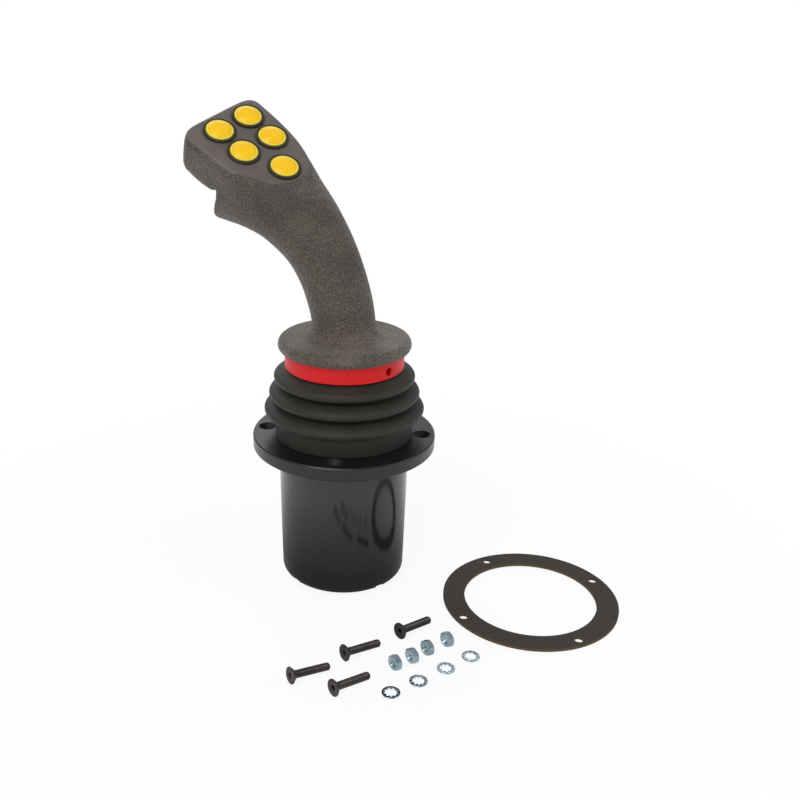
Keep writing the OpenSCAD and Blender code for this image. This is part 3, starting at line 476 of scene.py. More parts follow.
class Shader(Tree):
    """A material of one Principled shader, and the patterns that feed it."""

    def __init__(self, name, **values):
        self.mat = bpy.data.materials.new(name)
        self.mat.use_nodes = True
        super().__init__(self.mat.node_tree)
        self.set(**values)
        self.coords = self.node("ShaderNodeTexCoord").outputs["Object"]

    def set(self, **values):
        bsdf = self.tree.nodes["Principled BSDF"]
        for key, value in values.items():
            self.feed(bsdf.inputs[key.replace("_", " ")], value)

    def height(self):
        return self.node("ShaderNodeSeparateXYZ", Vector=self.coords).outputs["Z"]

    def facing_up(self):
        """The world normal's height: 1 on top faces, 0 on walls, -1 below."""
        normal = self.node("ShaderNodeNewGeometry").outputs["Normal"]
        return self.node("ShaderNodeSeparateXYZ", Vector=normal).outputs["Z"]

    def stretched(self, scale):
        return self.node("ShaderNodeMapping", Vector=self.coords, Scale=scale).outputs["Vector"]

    def noise(self, scale, detail, rough=0.55, vector=None):
        n = self.node("ShaderNodeTexNoise", Vector=vector or self.coords, Scale=scale,
                      Detail=detail, Roughness=rough)
        return n.outputs["Fac"]

    def cells(self, scale, smoothness):
        n = self.node("ShaderNodeTexVoronoi", {"feature": "SMOOTH_F1"}, Vector=self.coords,
                      Scale=scale, Smoothness=smoothness)
        return n.outputs["Distance"]

    def ramp(self, fac, colours, stops=(0.3, 0.7)):
        """Colours, as 0 to 255 of sRGB, set along a value."""
        n = self.node("ShaderNodeValToRGB", Fac=fac)
        elements = n.color_ramp.elements
        while len(elements) < len(stops):
            elements.new(0.5)
        for element, colour, stop in zip(elements, colours, stops):
            element.position = stop
            element.color = srgb(*colour)
        return n.outputs["Color"]

    def darkened(self, colour, share):
        n = self.node("ShaderNodeVectorMath", {"operation": "SCALE"}, Scale=share)
        self.feed(n.inputs[0], colour)
        return n.outputs[0]

    def mix(self, fac, a, b):
        n = self.node("ShaderNodeMix", {"data_type": "RGBA"}, Factor=fac)
        self.feed(n.inputs[6], a)
        self.feed(n.inputs[7], b)
        return n.outputs[2]

    def bump(self, height, strength, depth, **under):
        """A relief, in metres; Normal= lays it over another one."""
        n = self.node("ShaderNodeBump", Height=height, Strength=strength, Distance=depth, **under)
        return n.outputs["Normal"]


GRAIN_DEPTH = 0.00004


def moulded(name, colours, rough, grain, relief, blotch=None, **values):
    """A smooth moulding: a fine grain in its gloss and relief, and slow blotches of colour."""
    s = Shader(name, **values)
    fine = s.noise(grain, 2.0)
    tone = s.noise(blotch, 3.0) if blotch else fine
    s.set(Base_Color=s.ramp(tone, colours), Roughness=s.mapped(fine, *rough),
          Normal=s.bump(fine, relief, GRAIN_DEPTH))
    return s.mat


def face_material():
    return moulded("face_moulding", ((92, 83, 78), (104, 95, 89)), (0.38, 0.52), 5200.0, 0.2,
                   blotch=45.0, Roughness=0.42, Specular_IOR_Level=0.45)


def collar_material():
    return moulded("red_collar", ((210, 8, 14), (220, 18, 24)), (0.38, 0.48), 2200.0, 0.08,
                   blotch=50.0, Roughness=0.42, Specular_IOR_Level=0.3)


def cap_material():
    return moulded("yellow_cap", ((249, 194, 6), (254, 206, 14)), (0.28, 0.4), 2400.0, 0.06,
                   blotch=90.0, Roughness=0.34, Specular_IOR_Level=0.36)


def cap_rim_material():
    s = Shader("yellow_cap_rim", Roughness=0.4)
    s.set(Base_Color=s.ramp(s.noise(2400.0, 2.0), ((226, 204, 56), (238, 216, 70))))
    return s.mat


def bezel_material():
    return moulded("olive_bezel", ((46, 42, 24), (56, 52, 32)), (0.34, 0.48), 2600.0, 0.1,
                   Roughness=0.4, Specular_IOR_Level=0.4)


def grip_material():
    """Pebbled plastic: painted highlight on its pebbles, painted shade in the dark gaps between
    them, and painted light on the disc.
    """
    s = Shader("grip_moulding", Roughness=0.5, Specular_IOR_Level=0.45,
               Sheen_Weight=0.22, Sheen_Roughness=0.4)
    cells = s.cells(1150.0, 0.45)
    fine = s.noise(4200.0, 2.0)
    tone = s.ramp(s.noise(38.0, 4.0, 0.6), ((69, 60, 51), (83, 73, 63), (99, 89, 78)),
                  (0.3, 0.5, 0.7))
    disc_top = (GRIP_BOTTOM + FOOT_H) * MM
    # Painted light: the disc, which faces up to the lamps, is made paler, and this fades out up
    # the fillet.
    disc_painted_light = s.mapped(s.height(), 1.4, 1.0, disc_top + 0.002, disc_top + 0.014)
    # Painted highlight on the pebbles' tops and painted shade in the gaps between them, times the
    # disc's painted light.
    pebble_and_disc_painted_light = s.math("MULTIPLY", s.mapped(cells, 1.46, 0.56, 0.08, 0.62), disc_painted_light)
    wear = s.math("ADD", s.math("MULTIPLY", cells, 0.6), s.math("MULTIPLY", fine, 0.4))
    pebble = s.bump(s.mapped(cells, 1.0, 0.0, 0.0, 0.7), 1.0, 0.00034)
    s.set(Base_Color=s.darkened(tone, pebble_and_disc_painted_light), Roughness=s.mapped(wear, 0.40, 0.62, 0.1, 0.7),
          Normal=s.bump(fine, 0.25, 0.00005, Normal=pebble))
    return s.mat


def rubber_material():
    s = Shader("boot_rubber", Roughness=0.62, Specular_IOR_Level=0.4, Sheen_Weight=0.06)
    dust = s.noise(60.0, 5.0, 0.65)
    tone = s.ramp(dust, ((33, 32, 26), (41, 39, 32), (51, 48, 40)), (0.35, 0.6, 0.8))
    s.set(Base_Color=tone, Roughness=s.mapped(dust, 0.5, 0.72),
          Normal=s.bump(s.noise(3200.0, 3.0), 0.18, 0.00006))
    return s.mat


def anodised_material():
    """Turned and anodised: rings round the axis, with a fine etch over them."""
    s = Shader("black_anodised", Roughness=0.3, Specular_IOR_Level=0.5)
    turned = s.noise(240.0, 3.0, vector=s.stretched((1.0, 1.0, 14.0)))
    s.set(Base_Color=s.ramp(turned, ((13, 13, 13), (23, 22, 22))),
          Roughness=s.mapped(turned, 0.24, 0.4),
          Normal=s.bump(s.noise(2600.0, 2.0), 0.08, GRAIN_DEPTH))
    return s.mat


def housing_material():
    """Gloss moulding with a slow waviness in its wall."""
    s = Shader("gloss_housing", Roughness=0.12, Specular_IOR_Level=0.62)
    wave = s.noise(22.0, 2.0)
    s.set(Base_Color=s.ramp(wave, ((24, 23, 23), (30, 29, 28))),
          Roughness=s.mapped(s.noise(3000.0, 2.0), 0.10, 0.17),
          Normal=s.bump(wave, 0.05, 0.0004))
    return s.mat


def gasket_material():
    """Fibre sheet: a dark skin above and below, and a browner cut edge."""
    s = Shader("gasket_sheet", Roughness=0.78, Specular_IOR_Level=0.3)
    fibre = s.noise(900.0, 5.0, 0.7)
    skin = s.ramp(fibre, ((54, 48, 45), (64, 58, 54), (74, 67, 62)), (0.3, 0.6, 0.8))
    cut = s.ramp(s.noise(4000.0, 2.0), ((78, 60, 36), (108, 86, 54)))
    side = s.math("LESS_THAN", s.math("ABSOLUTE", s.facing_up()), 0.5)
    s.set(Base_Color=s.mix(side, skin, cut), Normal=s.bump(fibre, 0.25, 0.0001))
    return s.mat


def metal_material(name, dark, light, rough):
    s = Shader(name, Metallic=1.0, Roughness=sum(rough) / 2)
    fine = s.noise(900.0, 4.0, 0.6)
    stain = s.noise(160.0, 3.0)
    s.set(Base_Color=s.ramp(stain, (dark, light)), Roughness=s.mapped(fine, *rough),
          Normal=s.bump(fine, 0.1, 0.00005))
    return s.mat


def plastic_material(name, dark, light, rough):
    s = Shader(name, Roughness=sum(rough) / 2)
    fine = s.noise(1800.0, 3.0)
    s.set(Base_Color=s.ramp(fine, (dark, light)), Roughness=s.mapped(fine, *rough),
          Normal=s.bump(fine, 0.1, GRAIN_DEPTH))
    return s.mat


MATERIALS = {
    "anodised_black": anodised_material(),
    "housing_black": housing_material(),
    "inner_black": plastic_material("inner_moulding", (30, 30, 31), (40, 40, 41), (0.45, 0.6)),
    "steel": metal_material("machined_steel", (176, 178, 182), (206, 208, 212), (0.22, 0.4)),
    "zinc": metal_material("bright_zinc", (142, 162, 172), (184, 202, 212), (0.12, 0.26)),
    "black_oxide": metal_material("black_oxide", (66, 62, 60), (88, 84, 82), (0.34, 0.52)),
    "brass": metal_material("machined_brass", (196, 158, 84), (218, 184, 108), (0.2, 0.36)),
    "board": plastic_material("solder_mask", (20, 78, 44), (28, 98, 56), (0.25, 0.4)),
    "boot_rubber": rubber_material(),
    "gasket_rubber": gasket_material(),
    "grip": grip_material(),
    "face": face_material(),
    "bezel": bezel_material(),
    "cap_yellow": cap_material(),
    "collar_red": collar_material(),
}
CAP_RIM = cap_rim_material()
# Near-black for the walls of the flange's deep holes: a painted shade.
HOLE_SHADE = plastic_material("hole_painted_shade", (5, 5, 5), (10, 10, 10), (0.6, 0.7))


def dress(obj, slot, replaces, body=None):
    obj.data.materials.clear()
    obj.data.materials.append(MATERIALS[slot])
    if body:
        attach(obj, body)
    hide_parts(*replaces)


# ------------------------------------------------------------
# CAD nodes that keep their shape
# ------------------------------------------------------------

SLOT_NODES = {
    "anodised_black": ["mounting_flange"],
    "housing_black": ["lower_housing"],
    "inner_black": ["bottom_cover", "connector_header", "button_nuts", "button_switches"],
    "steel": ["tie_screws", "board_screws", "limit_gate", "pitch_spring", "gimbal_ring",
              "pitch_pins", "pitch_magnet", "pitch_spring_arm", "lever_hub", "lever_shaft",
              "roll_pins", "roll_magnet", "roll_spring_arm", "roll_spring", "button_springs"],
    "zinc": ["shaft_nut", "boot_washer", "lock_washers", "mounting_nuts"],
    "black_oxide": ["gate_screws", "collar_screws", "mounting_screws"],
    "brass": ["connector_pins", "pitch_bushes", "roll_bushes", "grip_insert"],
    "board": ["circuit_board", "pitch_sensor", "roll_sensor"],
    "boot_rubber": ["boot"],
    "gasket_rubber": ["mounting_gasket"],
    "grip": ["grip_body"],
    "face": ["face_plate"],
    "bezel": ["button_bezels"],
    "cap_yellow": ["button_cap_%d" % i for i in range(1, 6)],
    "collar_red": ["clamp_collar"],
}
for slot, nodes in SLOT_NODES.items():
    for node in nodes:
        for material_slot in NODES[node].material_slots:
            material_slot.material = MATERIALS[slot]


# ------------------------------------------------------------
# Grip
# ------------------------------------------------------------


def clamp01(x):
    return min(max(x, 0.0), 1.0)


def ease(x):
    c = clamp01(x)
    return c * c * (3 - 2 * c)


def along(t, span):
    """Eased share of a span of the spine that lies behind t."""
    start, end = span
    return ease((t - start) / (end - start))


def blend(a, b, k):
    return a + (b - a) * k


SLOPE = math.radians(HEAD_SLOPE)
FACE_ALONG = Vector((math.cos(SLOPE), math.sin(SLOPE)))
FACE_UP = Vector((-math.sin(SLOPE), math.cos(SLOPE)))
SPINE_START = Vector((0, GRIP_BOTTOM + FOOT_H + SPINE_LIFT))
SPINE_END = (Vector(FACE_CENTRE) + FACE_ALONG * (HEAD_FRONT - NOSE_ROUND + SPINE_PAST)
             - FACE_UP * HEAD_DEPTH / 2)
SPINE_CORNER = Vector((0, SPINE_END.y - SPINE_END.x * math.tan(SLOPE) + SPINE_BEND))

# FACE takes the face's own axes to the object's, and OFF_FACE takes them back
TURN = Matrix.Rotation(math.radians(GRIP_YAW), 4, "Z")
FACE = (TURN
        @ Matrix.Translation((0, FACE_CENTRE[0], FACE_CENTRE[1]))
        @ Matrix.Rotation(SLOPE, 4, "X")
        @ Matrix.Rotation(math.radians(-HEAD_ROLL), 4, "Y"))
FACE_N = (FACE.to_3x3() @ Vector((0, 0, 1))).normalized()
OFF_FACE = FACE.inverted()


def spine(t):
    return (1 - t) ** 2 * SPINE_START + 2 * t * (1 - t) * SPINE_CORNER + t * t * SPINE_END


def spine_dir(t):
    return ((1 - t) * (SPINE_CORNER - SPINE_START) + t * (SPINE_END - SPINE_CORNER)).normalized()


def half_front(t):
    """Depth in front of the spine: it grows to the ledge over the finger notch."""
    if t > LEDGE_AT:
        return HEAD_DEPTH / 2
    rise = max(t - LEDGE_FROM, 0) / (LEDGE_AT - LEDGE_FROM)
    return NECK_FRONT + (LEDGE_REACH - NECK_FRONT) * rise ** LEDGE_CURVE


def section_radius(a, across, depth, power):
    sides = (abs(math.cos(a)) / across) ** power + (abs(math.sin(a)) / depth) ** power
    return sides ** (-1 / power)


def grip_ring(t, front=None, shrink=0.0, push=0.0, lean=0.0):
    """The section round the spine, rolled to its side; lean moves its front up the spine."""
    c, d = spine(t), spine_dir(t)
    up = Vector((-d.y, d.x))
    roll = math.radians(HEAD_ROLL * along(t, ROLL_SPAN))
    aside = HEAD_DEPTH / 2 * math.sin(roll) + HEAD_SHIFT * along(t, SHIFT_SPAN)
    across_half = blend(NECK_HALF_W, HEAD_HALF_W, along(t, WIDTH_SPAN)) - shrink
    back_half = blend(NECK_BACK, HEAD_CROWN, along(t, CROWN_SPAN)) - shrink
    front_half = (half_front(t) if front is None else front) - shrink
    back_power = blend(ROUND_POWER, BACK_POWER, along(t, BACK_SPAN))
    front_power = blend(ROUND_POWER, FRONT_POWER, along(t, FRONT_SPAN))
    ring = []
    for a in around(GRIP_SIDES):
        if a < math.pi:
            r = section_radius(a, across_half, back_half, back_power)
        else:
            r = section_radius(a, across_half, front_half, front_power)
        x, n = r * math.cos(a), r * math.sin(a)
        ahead = push + lean * max(0.0, -math.sin(a)) ** 2
        across = x * math.cos(roll) - n * math.sin(roll) + aside
        rise = x * math.sin(roll) + n * math.cos(roll)
        ring.append(Vector((across, c.x + d.x * ahead + up.x * rise,
                            c.y + d.y * ahead + up.y * rise)))
    return ring


def soften(points):
    """Cuts the corners off a chain of points."""
    cut = [tuple(blend(u, v, k) for u, v in zip(a, b))
           for a, b in zip(points, points[1:]) for k in (0.22, 0.78)]
    return [points[0], *cut, points[-1]]


def ledge_profile():
    """(t, depth, lean) over the ledge's lip and the finger notch above it, softened twice."""
    def at(mm):
        return LEDGE_AT + mm * LEDGE_PER_MM

    half = HEAD_DEPTH / 2
    stations = [(-6, half_front(at(-6)), 0.0),
                (-3, half_front(at(-3)), 0.5),
                (-0.9, half_front(at(-0.9)) + 0.7, 2.2),
                (-0.1, LEDGE_REACH + 1.0, 3.9),
                (0.2, LEDGE_REACH + 0.4, 4.2),
                (0.7, 26.6, 2.0),
                (1.1, 21.4, -0.3),
                (1.5, 15.6, -2.2),
                (2.0, half - 5.0, -2.4),
                (2.7, half - 5.4, -1.4),
                (3.5, half - 4.4, -0.4),
                (4.4, half - 2.4, 0.0),
                (5.4, half - 0.6, 0.0),
                (6.4, HEAD_UNDER, 0.0)]
    return soften(soften([(at(mm), depth, lean) for mm, depth, lean in stations]))


def head_belly(t, start):
    """Depth of the head's underside, which swells a little between the notch and the nose."""
    return HEAD_UNDER + HEAD_BELLY * math.sin(math.pi * clamp01((t - start) / (1 - start)))


def foot_rings(first):
    """From the disc's underside, round its rim, in over its top and up the fillet to the neck."""
    edge_at = FOOT_R - FOOT_EDGE_R
    crown = FOOT_H - FOOT_EDGE_R
    profile = [(FOOT_BORE_R, GRIP_BOTTOM), (FOOT_UNDER_R, GRIP_BOTTOM)]
    profile += [(edge_at + x, z) for x, z in
                arc(0, GRIP_BOTTOM + FOOT_EDGE_R, FOOT_EDGE_R, -90, FOOT_EDGE_END, EDGE_RINGS)]
    for a in sweep(FOOT_EDGE_END, 90, CROWN_RINGS)[1:]:
        z = FOOT_EDGE_R + crown * FOOT_CROWN * math.sin(a)
        profile.append((edge_at + FOOT_EDGE_R * math.cos(a), GRIP_BOTTOM + z))
    angles = [math.atan2(p.y, p.x) for p in first]
    disc = [[Vector((r * math.cos(a), r * math.sin(a), z)) for a in angles] for r, z in profile]

    disc_top = GRIP_BOTTOM + FOOT_H
    fillet = []
    for u in sweep(0, 90, FILLET_RINGS):
        z = disc_top + FOOT_FILLET_R * (1 - math.cos(u))
        ring = []
        for p in first:
            flat = Vector((p.x, p.y, 0))
            q = flat + flat.normalized() * FOOT_FILLET_R * (1 - math.sin(u))
            ring.append(Vector((q.x, q.y, z)))
        fillet.append(ring)
    top = [[a.lerp(b, i / TOP_RINGS) for a, b in zip(disc[-1], fillet[0])]
           for i in range(1, TOP_RINGS)]
    return disc + top + fillet


def grip_solid(name):
    """The whole grip as one closed form, from the disc's bore to the tip of the nose."""
    foot_end = (FOOT_FILLET_R - SPINE_LIFT) / (2 * (SPINE_CORNER - SPINE_START).length)
    ledge = ledge_profile()
    neck_end, head_start = ledge[0][0], ledge[-1][0]
    rings = foot_rings(grip_ring(foot_end))[:-1]
    rings += [grip_ring(foot_end + (neck_end - foot_end) * i / NECK_RINGS)
              for i in range(NECK_RINGS)]
    rings += [grip_ring(t, depth, lean=lean) for t, depth, lean in ledge]
    for i in range(1, HEAD_RINGS + 1):
        t = head_start + (1 - head_start) * i / HEAD_RINGS
        rings.append(grip_ring(t, head_belly(t, head_start)))
    for a in sweep(0, NOSE_TURN, NOSE_RINGS)[1:]:
        rings.append(grip_ring(1, HEAD_UNDER, shrink=NOSE_ROUND * (1 - math.cos(a)),
                               push=NOSE_ROUND * math.sin(a)))
    n = GRIP_SIDES
    verts = [p for ring in rings for p in ring]
    faces = grid_faces(len(rings), n)
    faces.append(tuple(range(n - 1, -1, -1)))
    tip = len(verts)
    last = tip - n
    verts.append(sum(rings[-1], Vector()) / n)
    faces += [(last + k, last + (k + 1) % n, tip) for k in range(n)]
    return solid(name, [TURN @ v for v in verts], faces, scale=1.0)


def inset_loop(points, d):
    """Moves a closed loop of points in the face plane inwards by d."""
    n = len(points)
    area = sum(points[i].x * points[(i + 1) % n].y - points[(i + 1) % n].x * points[i].y
               for i in range(n)) / 2
    side = 1 if area > 0 else -1
    out = []
    for i in range(n):
        along_edge = points[(i + 1) % n] - points[i - 1]
        normal = Vector((-along_edge.y, along_edge.x)).normalized() * side
        out.append(points[i] + normal * d)
    return out


def rim_loop(bm):
    """The open mesh's rim, corner after corner."""
    start = next(v for v in bm.verts if v.is_boundary)
    loop = [start]
    before = None
    while True:
        steps = [e.other_vert(loop[-1]) for e in loop[-1].link_edges if e.is_boundary]
        after = steps[0] if steps[0] is not before else steps[1]
        if after is start:
            return loop
        before = loop[-1]
        loop.append(after)


def cut_flat(obj, height, edge):
    """Cuts the form flat at a height over the face plane and closes it with a rounded edge."""
    with editing(obj.data) as bm:
        at = FACE @ Vector((0, 0, height - edge))
        bmesh.ops.bisect_plane(bm, geom=bm.verts[:] + bm.edges[:] + bm.faces[:], dist=1e-4,
                               plane_co=at, plane_no=FACE_N, clear_outer=True)
        bmesh.ops.remove_doubles(bm, verts=[v for v in bm.verts if v.is_boundary],
                                 dist=CUT_WELD)
        ring = rim_loop(bm)
        flat = [(OFF_FACE @ v.co).to_2d() for v in ring]
        n = len(ring)
        for i in range(1, PLATE_EDGE_STEPS + 1):
            a = math.pi / 2 * i / PLATE_EDGE_STEPS
            level = height - edge + edge * math.sin(a)
            made = [bm.verts.new(FACE @ Vector((q.x, q.y, level)))
                    for q in inset_loop(flat, edge * (1 - math.cos(a)))]
            for k in range(n):
                bm.faces.new((ring[k], ring[(k + 1) % n], made[(k + 1) % n], made[k]))
            ring = made
        bm.faces.new(ring)
        bmesh.ops.recalc_face_normals(bm, faces=bm.faces)


def plate_outline(inset):
    """The plate's outline on the face: wide at the front, drawn in to a round tail."""
    front = HEAD_FRONT + PLATE_OVER - inset
    half = HEAD_HALF_W + PLATE_OVER - inset
    tail = [((TAIL_HALF_W - inset) * math.cos(a),
             (TAIL_LEN - inset) * math.sin(a) - THUMB_Y + TAIL_AHEAD)
            for a in sweep(*TAIL_ARC, TAIL_STEPS)]
    return [(-half, front), (-half, 0), *tail, (half, 0), (half, front)]


def outline_distance(outline, x, y):
    """How far a point of the face plane lies outside a closed outline, 0 inside it."""
    inside = False
    best = math.inf
    for (x0, y0), (x1, y1) in zip(outline, outline[1:] + outline[:1]):
        if (y0 > y) != (y1 > y) and x < (x1 - x0) * (y - y0) / (y1 - y0) + x0:
            inside = not inside
        dx, dy = x1 - x0, y1 - y0
        k = clamp01(((x - x0) * dx + (y - y0) * dy) / (dx * dx + dy * dy))
        best = min(best, math.hypot(x - x0 - k * dx, y - y0 - k * dy))
    return 0.0 if inside else best


def settle_neck(obj, level):
    """Draws the neck's back down to the plate's rim, so that it ends in a low crescent."""
    outline = plate_outline(0.0)
    for v in obj.data.vertices:
        p = OFF_FACE @ v.co
        if p.z > level:
            share = ease(outline_distance(outline, p.x, p.y) / NECK_RUN)
            p.z = level + (p.z - level) * share
            v.co = FACE @ p


def build_grip():
    plate = grip_solid("grip_face_plate")
    body = grip_solid("grip_moulding")
    cut_flat(plate, FACE_LEVEL, PLATE_EDGE_R)
    settle_neck(body, FACE_LEVEL + TAIL_RIM)
    kept = prism(plate_outline(PLATE_GAP), PLATE_SEAT - PLATE_T, CUT_ABOVE, FACE)
    boolean(plate, kept, "INTERSECT")
    boolean(body, prism(plate_outline(0.0), -PLATE_T, CUT_ABOVE, FACE))
    bore = [(POCKET_R * math.cos(a), POCKET_R * math.sin(a)) for a in around(BUTTON_SIDES)]
    for x, y in BUTTON_AT:
        at = FACE @ Matrix.Translation((x, y, 0))
        boolean(plate, prism(bore, -PLATE_T - CUT_BELOW, CUT_ABOVE, at))
    for piece in (plate, body):
        shade_by_angle(piece, 40)
        to_metres(piece)
    dress(body, "grip", ["grip_body"], "lever")
    dress(plate, "face", ["face_plate"], "lever")


build_grip()

# ------------------------------------------------------------
# Buttons
# ------------------------------------------------------------


def cap_profile():
    """Stem, underside, rim with a flat ring, and the raised dome, above the face."""
    under = BEZEL_H - CAP_EDGE_H
    foot = STEM_LOW + STEM_FOOT_H
    return [(0, STEM_LOW), (STEM_FOOT_R, STEM_LOW), (STEM_FOOT_R, foot), (STEM_R, foot),
            (STEM_R, under), (CAP_R - CAP_BREAK, under), (CAP_R, under + CAP_BREAK),
            *arc(CAP_R - CAP_EDGE_R, BEZEL_H - CAP_EDGE_R, CAP_EDGE_R, 0, 90, 4),
            *[(CAP_R - inset, BEZEL_H + rise) for inset, rise in CAP_DOME],
            (0, BEZEL_H + CAP_CROWN_H)]


def bezel_profile():
    """Ring on the face with a lined pocket for the cap and the threaded barrel under it."""
    under = POCKET_FLOOR - POCKET_T
    return [(POCKET_HOLE_R, under), (POCKET_HOLE_R, POCKET_FLOOR),
            (BEZEL_BORE_R, POCKET_FLOOR), (BEZEL_BORE_R, BEZEL_H - 0.2),
            (BEZEL_BORE_R + 0.08, BEZEL_H - 0.06), (BEZEL_BORE_R + 0.25, BEZEL_H),
            *arc(BEZEL_R - BEZEL_EDGE_R, BEZEL_H - BEZEL_EDGE_R, BEZEL_EDGE_R, 90, 10, 5),
            (BEZEL_R + 0.02, 0.4), (BEZEL_R + 0.06, BEZEL_SEAT_H),
            (POCKET_R - POCKET_GAP, BEZEL_SEAT_H), (POCKET_R - POCKET_GAP, under),
            (BARREL_R, under), (BARREL_R, BARREL_LOW),
            (BARREL_BORE_R, BARREL_LOW), (BARREL_BORE_R, under)]


def build_buttons():
    rings = []
    for i, (x, y) in enumerate(BUTTON_AT, 1):
        at = FACE @ Matrix.Translation((x, y, FACE_LEVEL))
        cap = lathe_disc("cap_%d" % i, cap_profile(), BUTTON_SIDES)
        place(cap, at)
        dress(cap, "cap_yellow", ["button_cap_%d" % i], "button_%d" % i)
        cap.data.materials.append(CAP_RIM)
        off_cap = at.inverted()
        for p in cap.data.polygons:
            local = off_cap @ (p.center / MM)
            if math.hypot(local.x, local.y) > CAP_R - CAP_FLAT_W:
                p.material_index = 1
        bezel = lathe("bezel_part", bezel_profile(), BUTTON_SIDES)
        place(bezel, at)
        rings.append(bezel)
    bezels = merge("bezels", rings)
    shade_by_angle(bezels, 40)
    dress(bezels, "bezel", ["button_bezels"], "lever")


build_buttons()

# ------------------------------------------------------------
# Mounting kit and housing, laid where the CAD pieces are
# ------------------------------------------------------------


def loose_parts(node):
    """The world places, in millimetres, of the vertices of each separate solid of a node."""
    obj = NODES[node]
    bm = bmesh.new()
    bm.from_mesh(obj.data)
    bmesh.ops.remove_doubles(bm, verts=bm.verts, dist=WELD)
    bm.transform(obj.matrix_world)
    left = set(bm.verts)
    parts = []
    for v in bm.verts:
        if v not in left:
            continue
        left.discard(v)
        stack, found = [v], []
        while stack:
            w = stack.pop()
            found.append(tuple(w.co / MM))
            for e in w.link_edges:
                o = e.other_vert(w)
                if o in left:
                    left.discard(o)
                    stack.append(o)
        parts.append(np.array(found))
    bm.free()
    return parts


def frame_of(axis, origin, toward):
    """A matrix whose Z runs along axis, with X turned towards a point."""
    z = Vector(axis).normalized()
    x = Vector(toward) - Vector(origin)
    x = (x - z * x.dot(z)).normalized()
    m = Matrix.Identity(4)
    for i, c in enumerate((x, z.cross(x), z, Vector(origin))):
        m[0][i], m[1][i], m[2][i] = c
    return m


def middle(points):
    return (points.min(axis=0) + points.max(axis=0)) / 2


def main_axes(points):
    """Unit vectors from the direction in which points spread most to the least."""
    return np.linalg.svd(points - points.mean(axis=0))[2]


def from_axis(points, origin, axis):
    """How far along an axis from its origin the points lie, and how far off it."""
    run = (points - origin) @ axis
    return run, np.linalg.norm(points - origin - np.outer(run, axis), axis=1)


def turned_grid(name, stations, sides, closed):
    """A solid from rings; each station gives (radius, height) for an angle."""
    verts = []
    for station in stations:
        for a in around(sides):
            r, z = station(a)
            verts.append((r * math.cos(a), r * math.sin(a), z))
    n = len(stations)
    faces = grid_faces(n, sides, closed)
    if not closed:
        faces.append(tuple(range(sides - 1, -1, -1)))
        faces.append(tuple(range((n - 1) * sides, n * sides)))
    return solid(name, verts, faces)


def hexagon(a, flat):
    """Radius of a hexagon with a corner at angle 0."""
    turn = (a + math.pi / 6) % (math.pi / 3) - math.pi / 6
    return flat / math.cos(abs(turn) - math.pi / 6)


def fixed(r, z):
    return lambda a: (r, z)


def socket(flat, z, more=0.0):
    return lambda a: (hexagon(a, flat) + more, z)


def thread(z, start):
    """A thread's ring at a height: its groove deepens over the first turn from start."""
    def at(a):
        phase = (z / THREAD_PITCH - a / (2 * math.pi)) % 1.0
        rise = clamp01((z - start) / THREAD_PITCH)
        groove = (SCREW_R - SCREW_ROOT) * rise * abs(2 * phase - 1) ** THREAD_POWER
        return SCREW_R - groove, z
    return at


def screw_stations(head_r, length):
    """Socket, countersunk head, thread and point, down from the head's top."""
    neck = head_r - SCREW_R + HEAD_RIM
    start = neck + 0.3
    stations = [socket(0.4, SOCKET_DEPTH + 0.3), socket(SOCKET_FLAT, SOCKET_DEPTH),
                socket(SOCKET_FLAT, HEAD_BREAK), socket(SOCKET_FLAT, 0.0, HEAD_BREAK),
                fixed(head_r - 0.15, 0.0), fixed(head_r, HEAD_BREAK), fixed(head_r, HEAD_RIM),
                fixed(SCREW_R + 0.15, neck - 0.15), fixed(SCREW_R - 0.04, neck + 0.1)]
    z = start
    while z < length - 0.55:
        stations.append(thread(z, start))
        z += THREAD_PITCH / THREAD_STEPS
    return stations + [fixed(SCREW_ROOT + 0.1, length - 0.4),
                       fixed(SCREW_ROOT - 0.2, length - 0.04), fixed(SCREW_ROOT - 0.5, length)]


def build_screw(points):
    """A screw with its head's top, axis and length where the points have them."""
    centre = points.mean(axis=0)
    axis = main_axes(points)[0]
    run, off = from_axis(points, centre, axis)
    if run[off.argmax()] > 0:
        axis, run = -axis, -run
    on_axis = points[off > off.max() - RIM_BAND].mean(axis=0)
    head_r = from_axis(points, on_axis, axis)[1].max()
    length = run.max() - run.min() + SCREW_MORE
    top = on_axis + axis * (run.min() - (on_axis - centre) @ axis)
    screw = turned_grid("screw", screw_stations(head_r, length), SCREW_SIDES, False)
    place(screw, frame_of(axis, top, top + np.array(SOCKET_TOWARD)))
    return screw


def nut_stations(flat, half):
    """Chamfered hexagon outside and thread inside, from one face round to the other."""
    def side(z):
        cone = flat - NUT_CONE_IN + (half - abs(z)) * NUT_CONE
        return lambda a: (min(hexagon(a, flat), cone), z)

    inner = half - NUT_MOUTH_H
    stations = [side(half * k) for k in (-1, -0.96, -0.9, -0.84, -0.77, -0.68, -0.5, 0,
                                         0.5, 0.68, 0.77, 0.84, 0.9, 0.96, 1)]
    stations += [fixed(NUT_MOUTH_R, half), fixed(SCREW_R - 0.05, inner)]
    stations += [thread(inner * (1 - 2 * i / NUT_STEPS), -half - 2)
                 for i in range(1, NUT_STEPS)]
    return stations + [fixed(SCREW_R - 0.05, -inner), fixed(NUT_MOUTH_R, -half)]


def build_nut(points):
    """A nut whose corners, faces and axis are where the points have them."""
    centre = middle(points)
    away = np.linalg.norm(points - centre, axis=1)
    axis = main_axes(points[away > away.max() - RIM_BAND])[2]
    run, off = from_axis(points, centre, axis)
    stations = nut_stations(off.max() * math.cos(math.pi / 6), np.abs(run).max())
    nut = turned_grid("nut", stations, NUT_SIDES, True)
    place(nut, frame_of(axis, centre, points[off.argmax()]))
    return nut


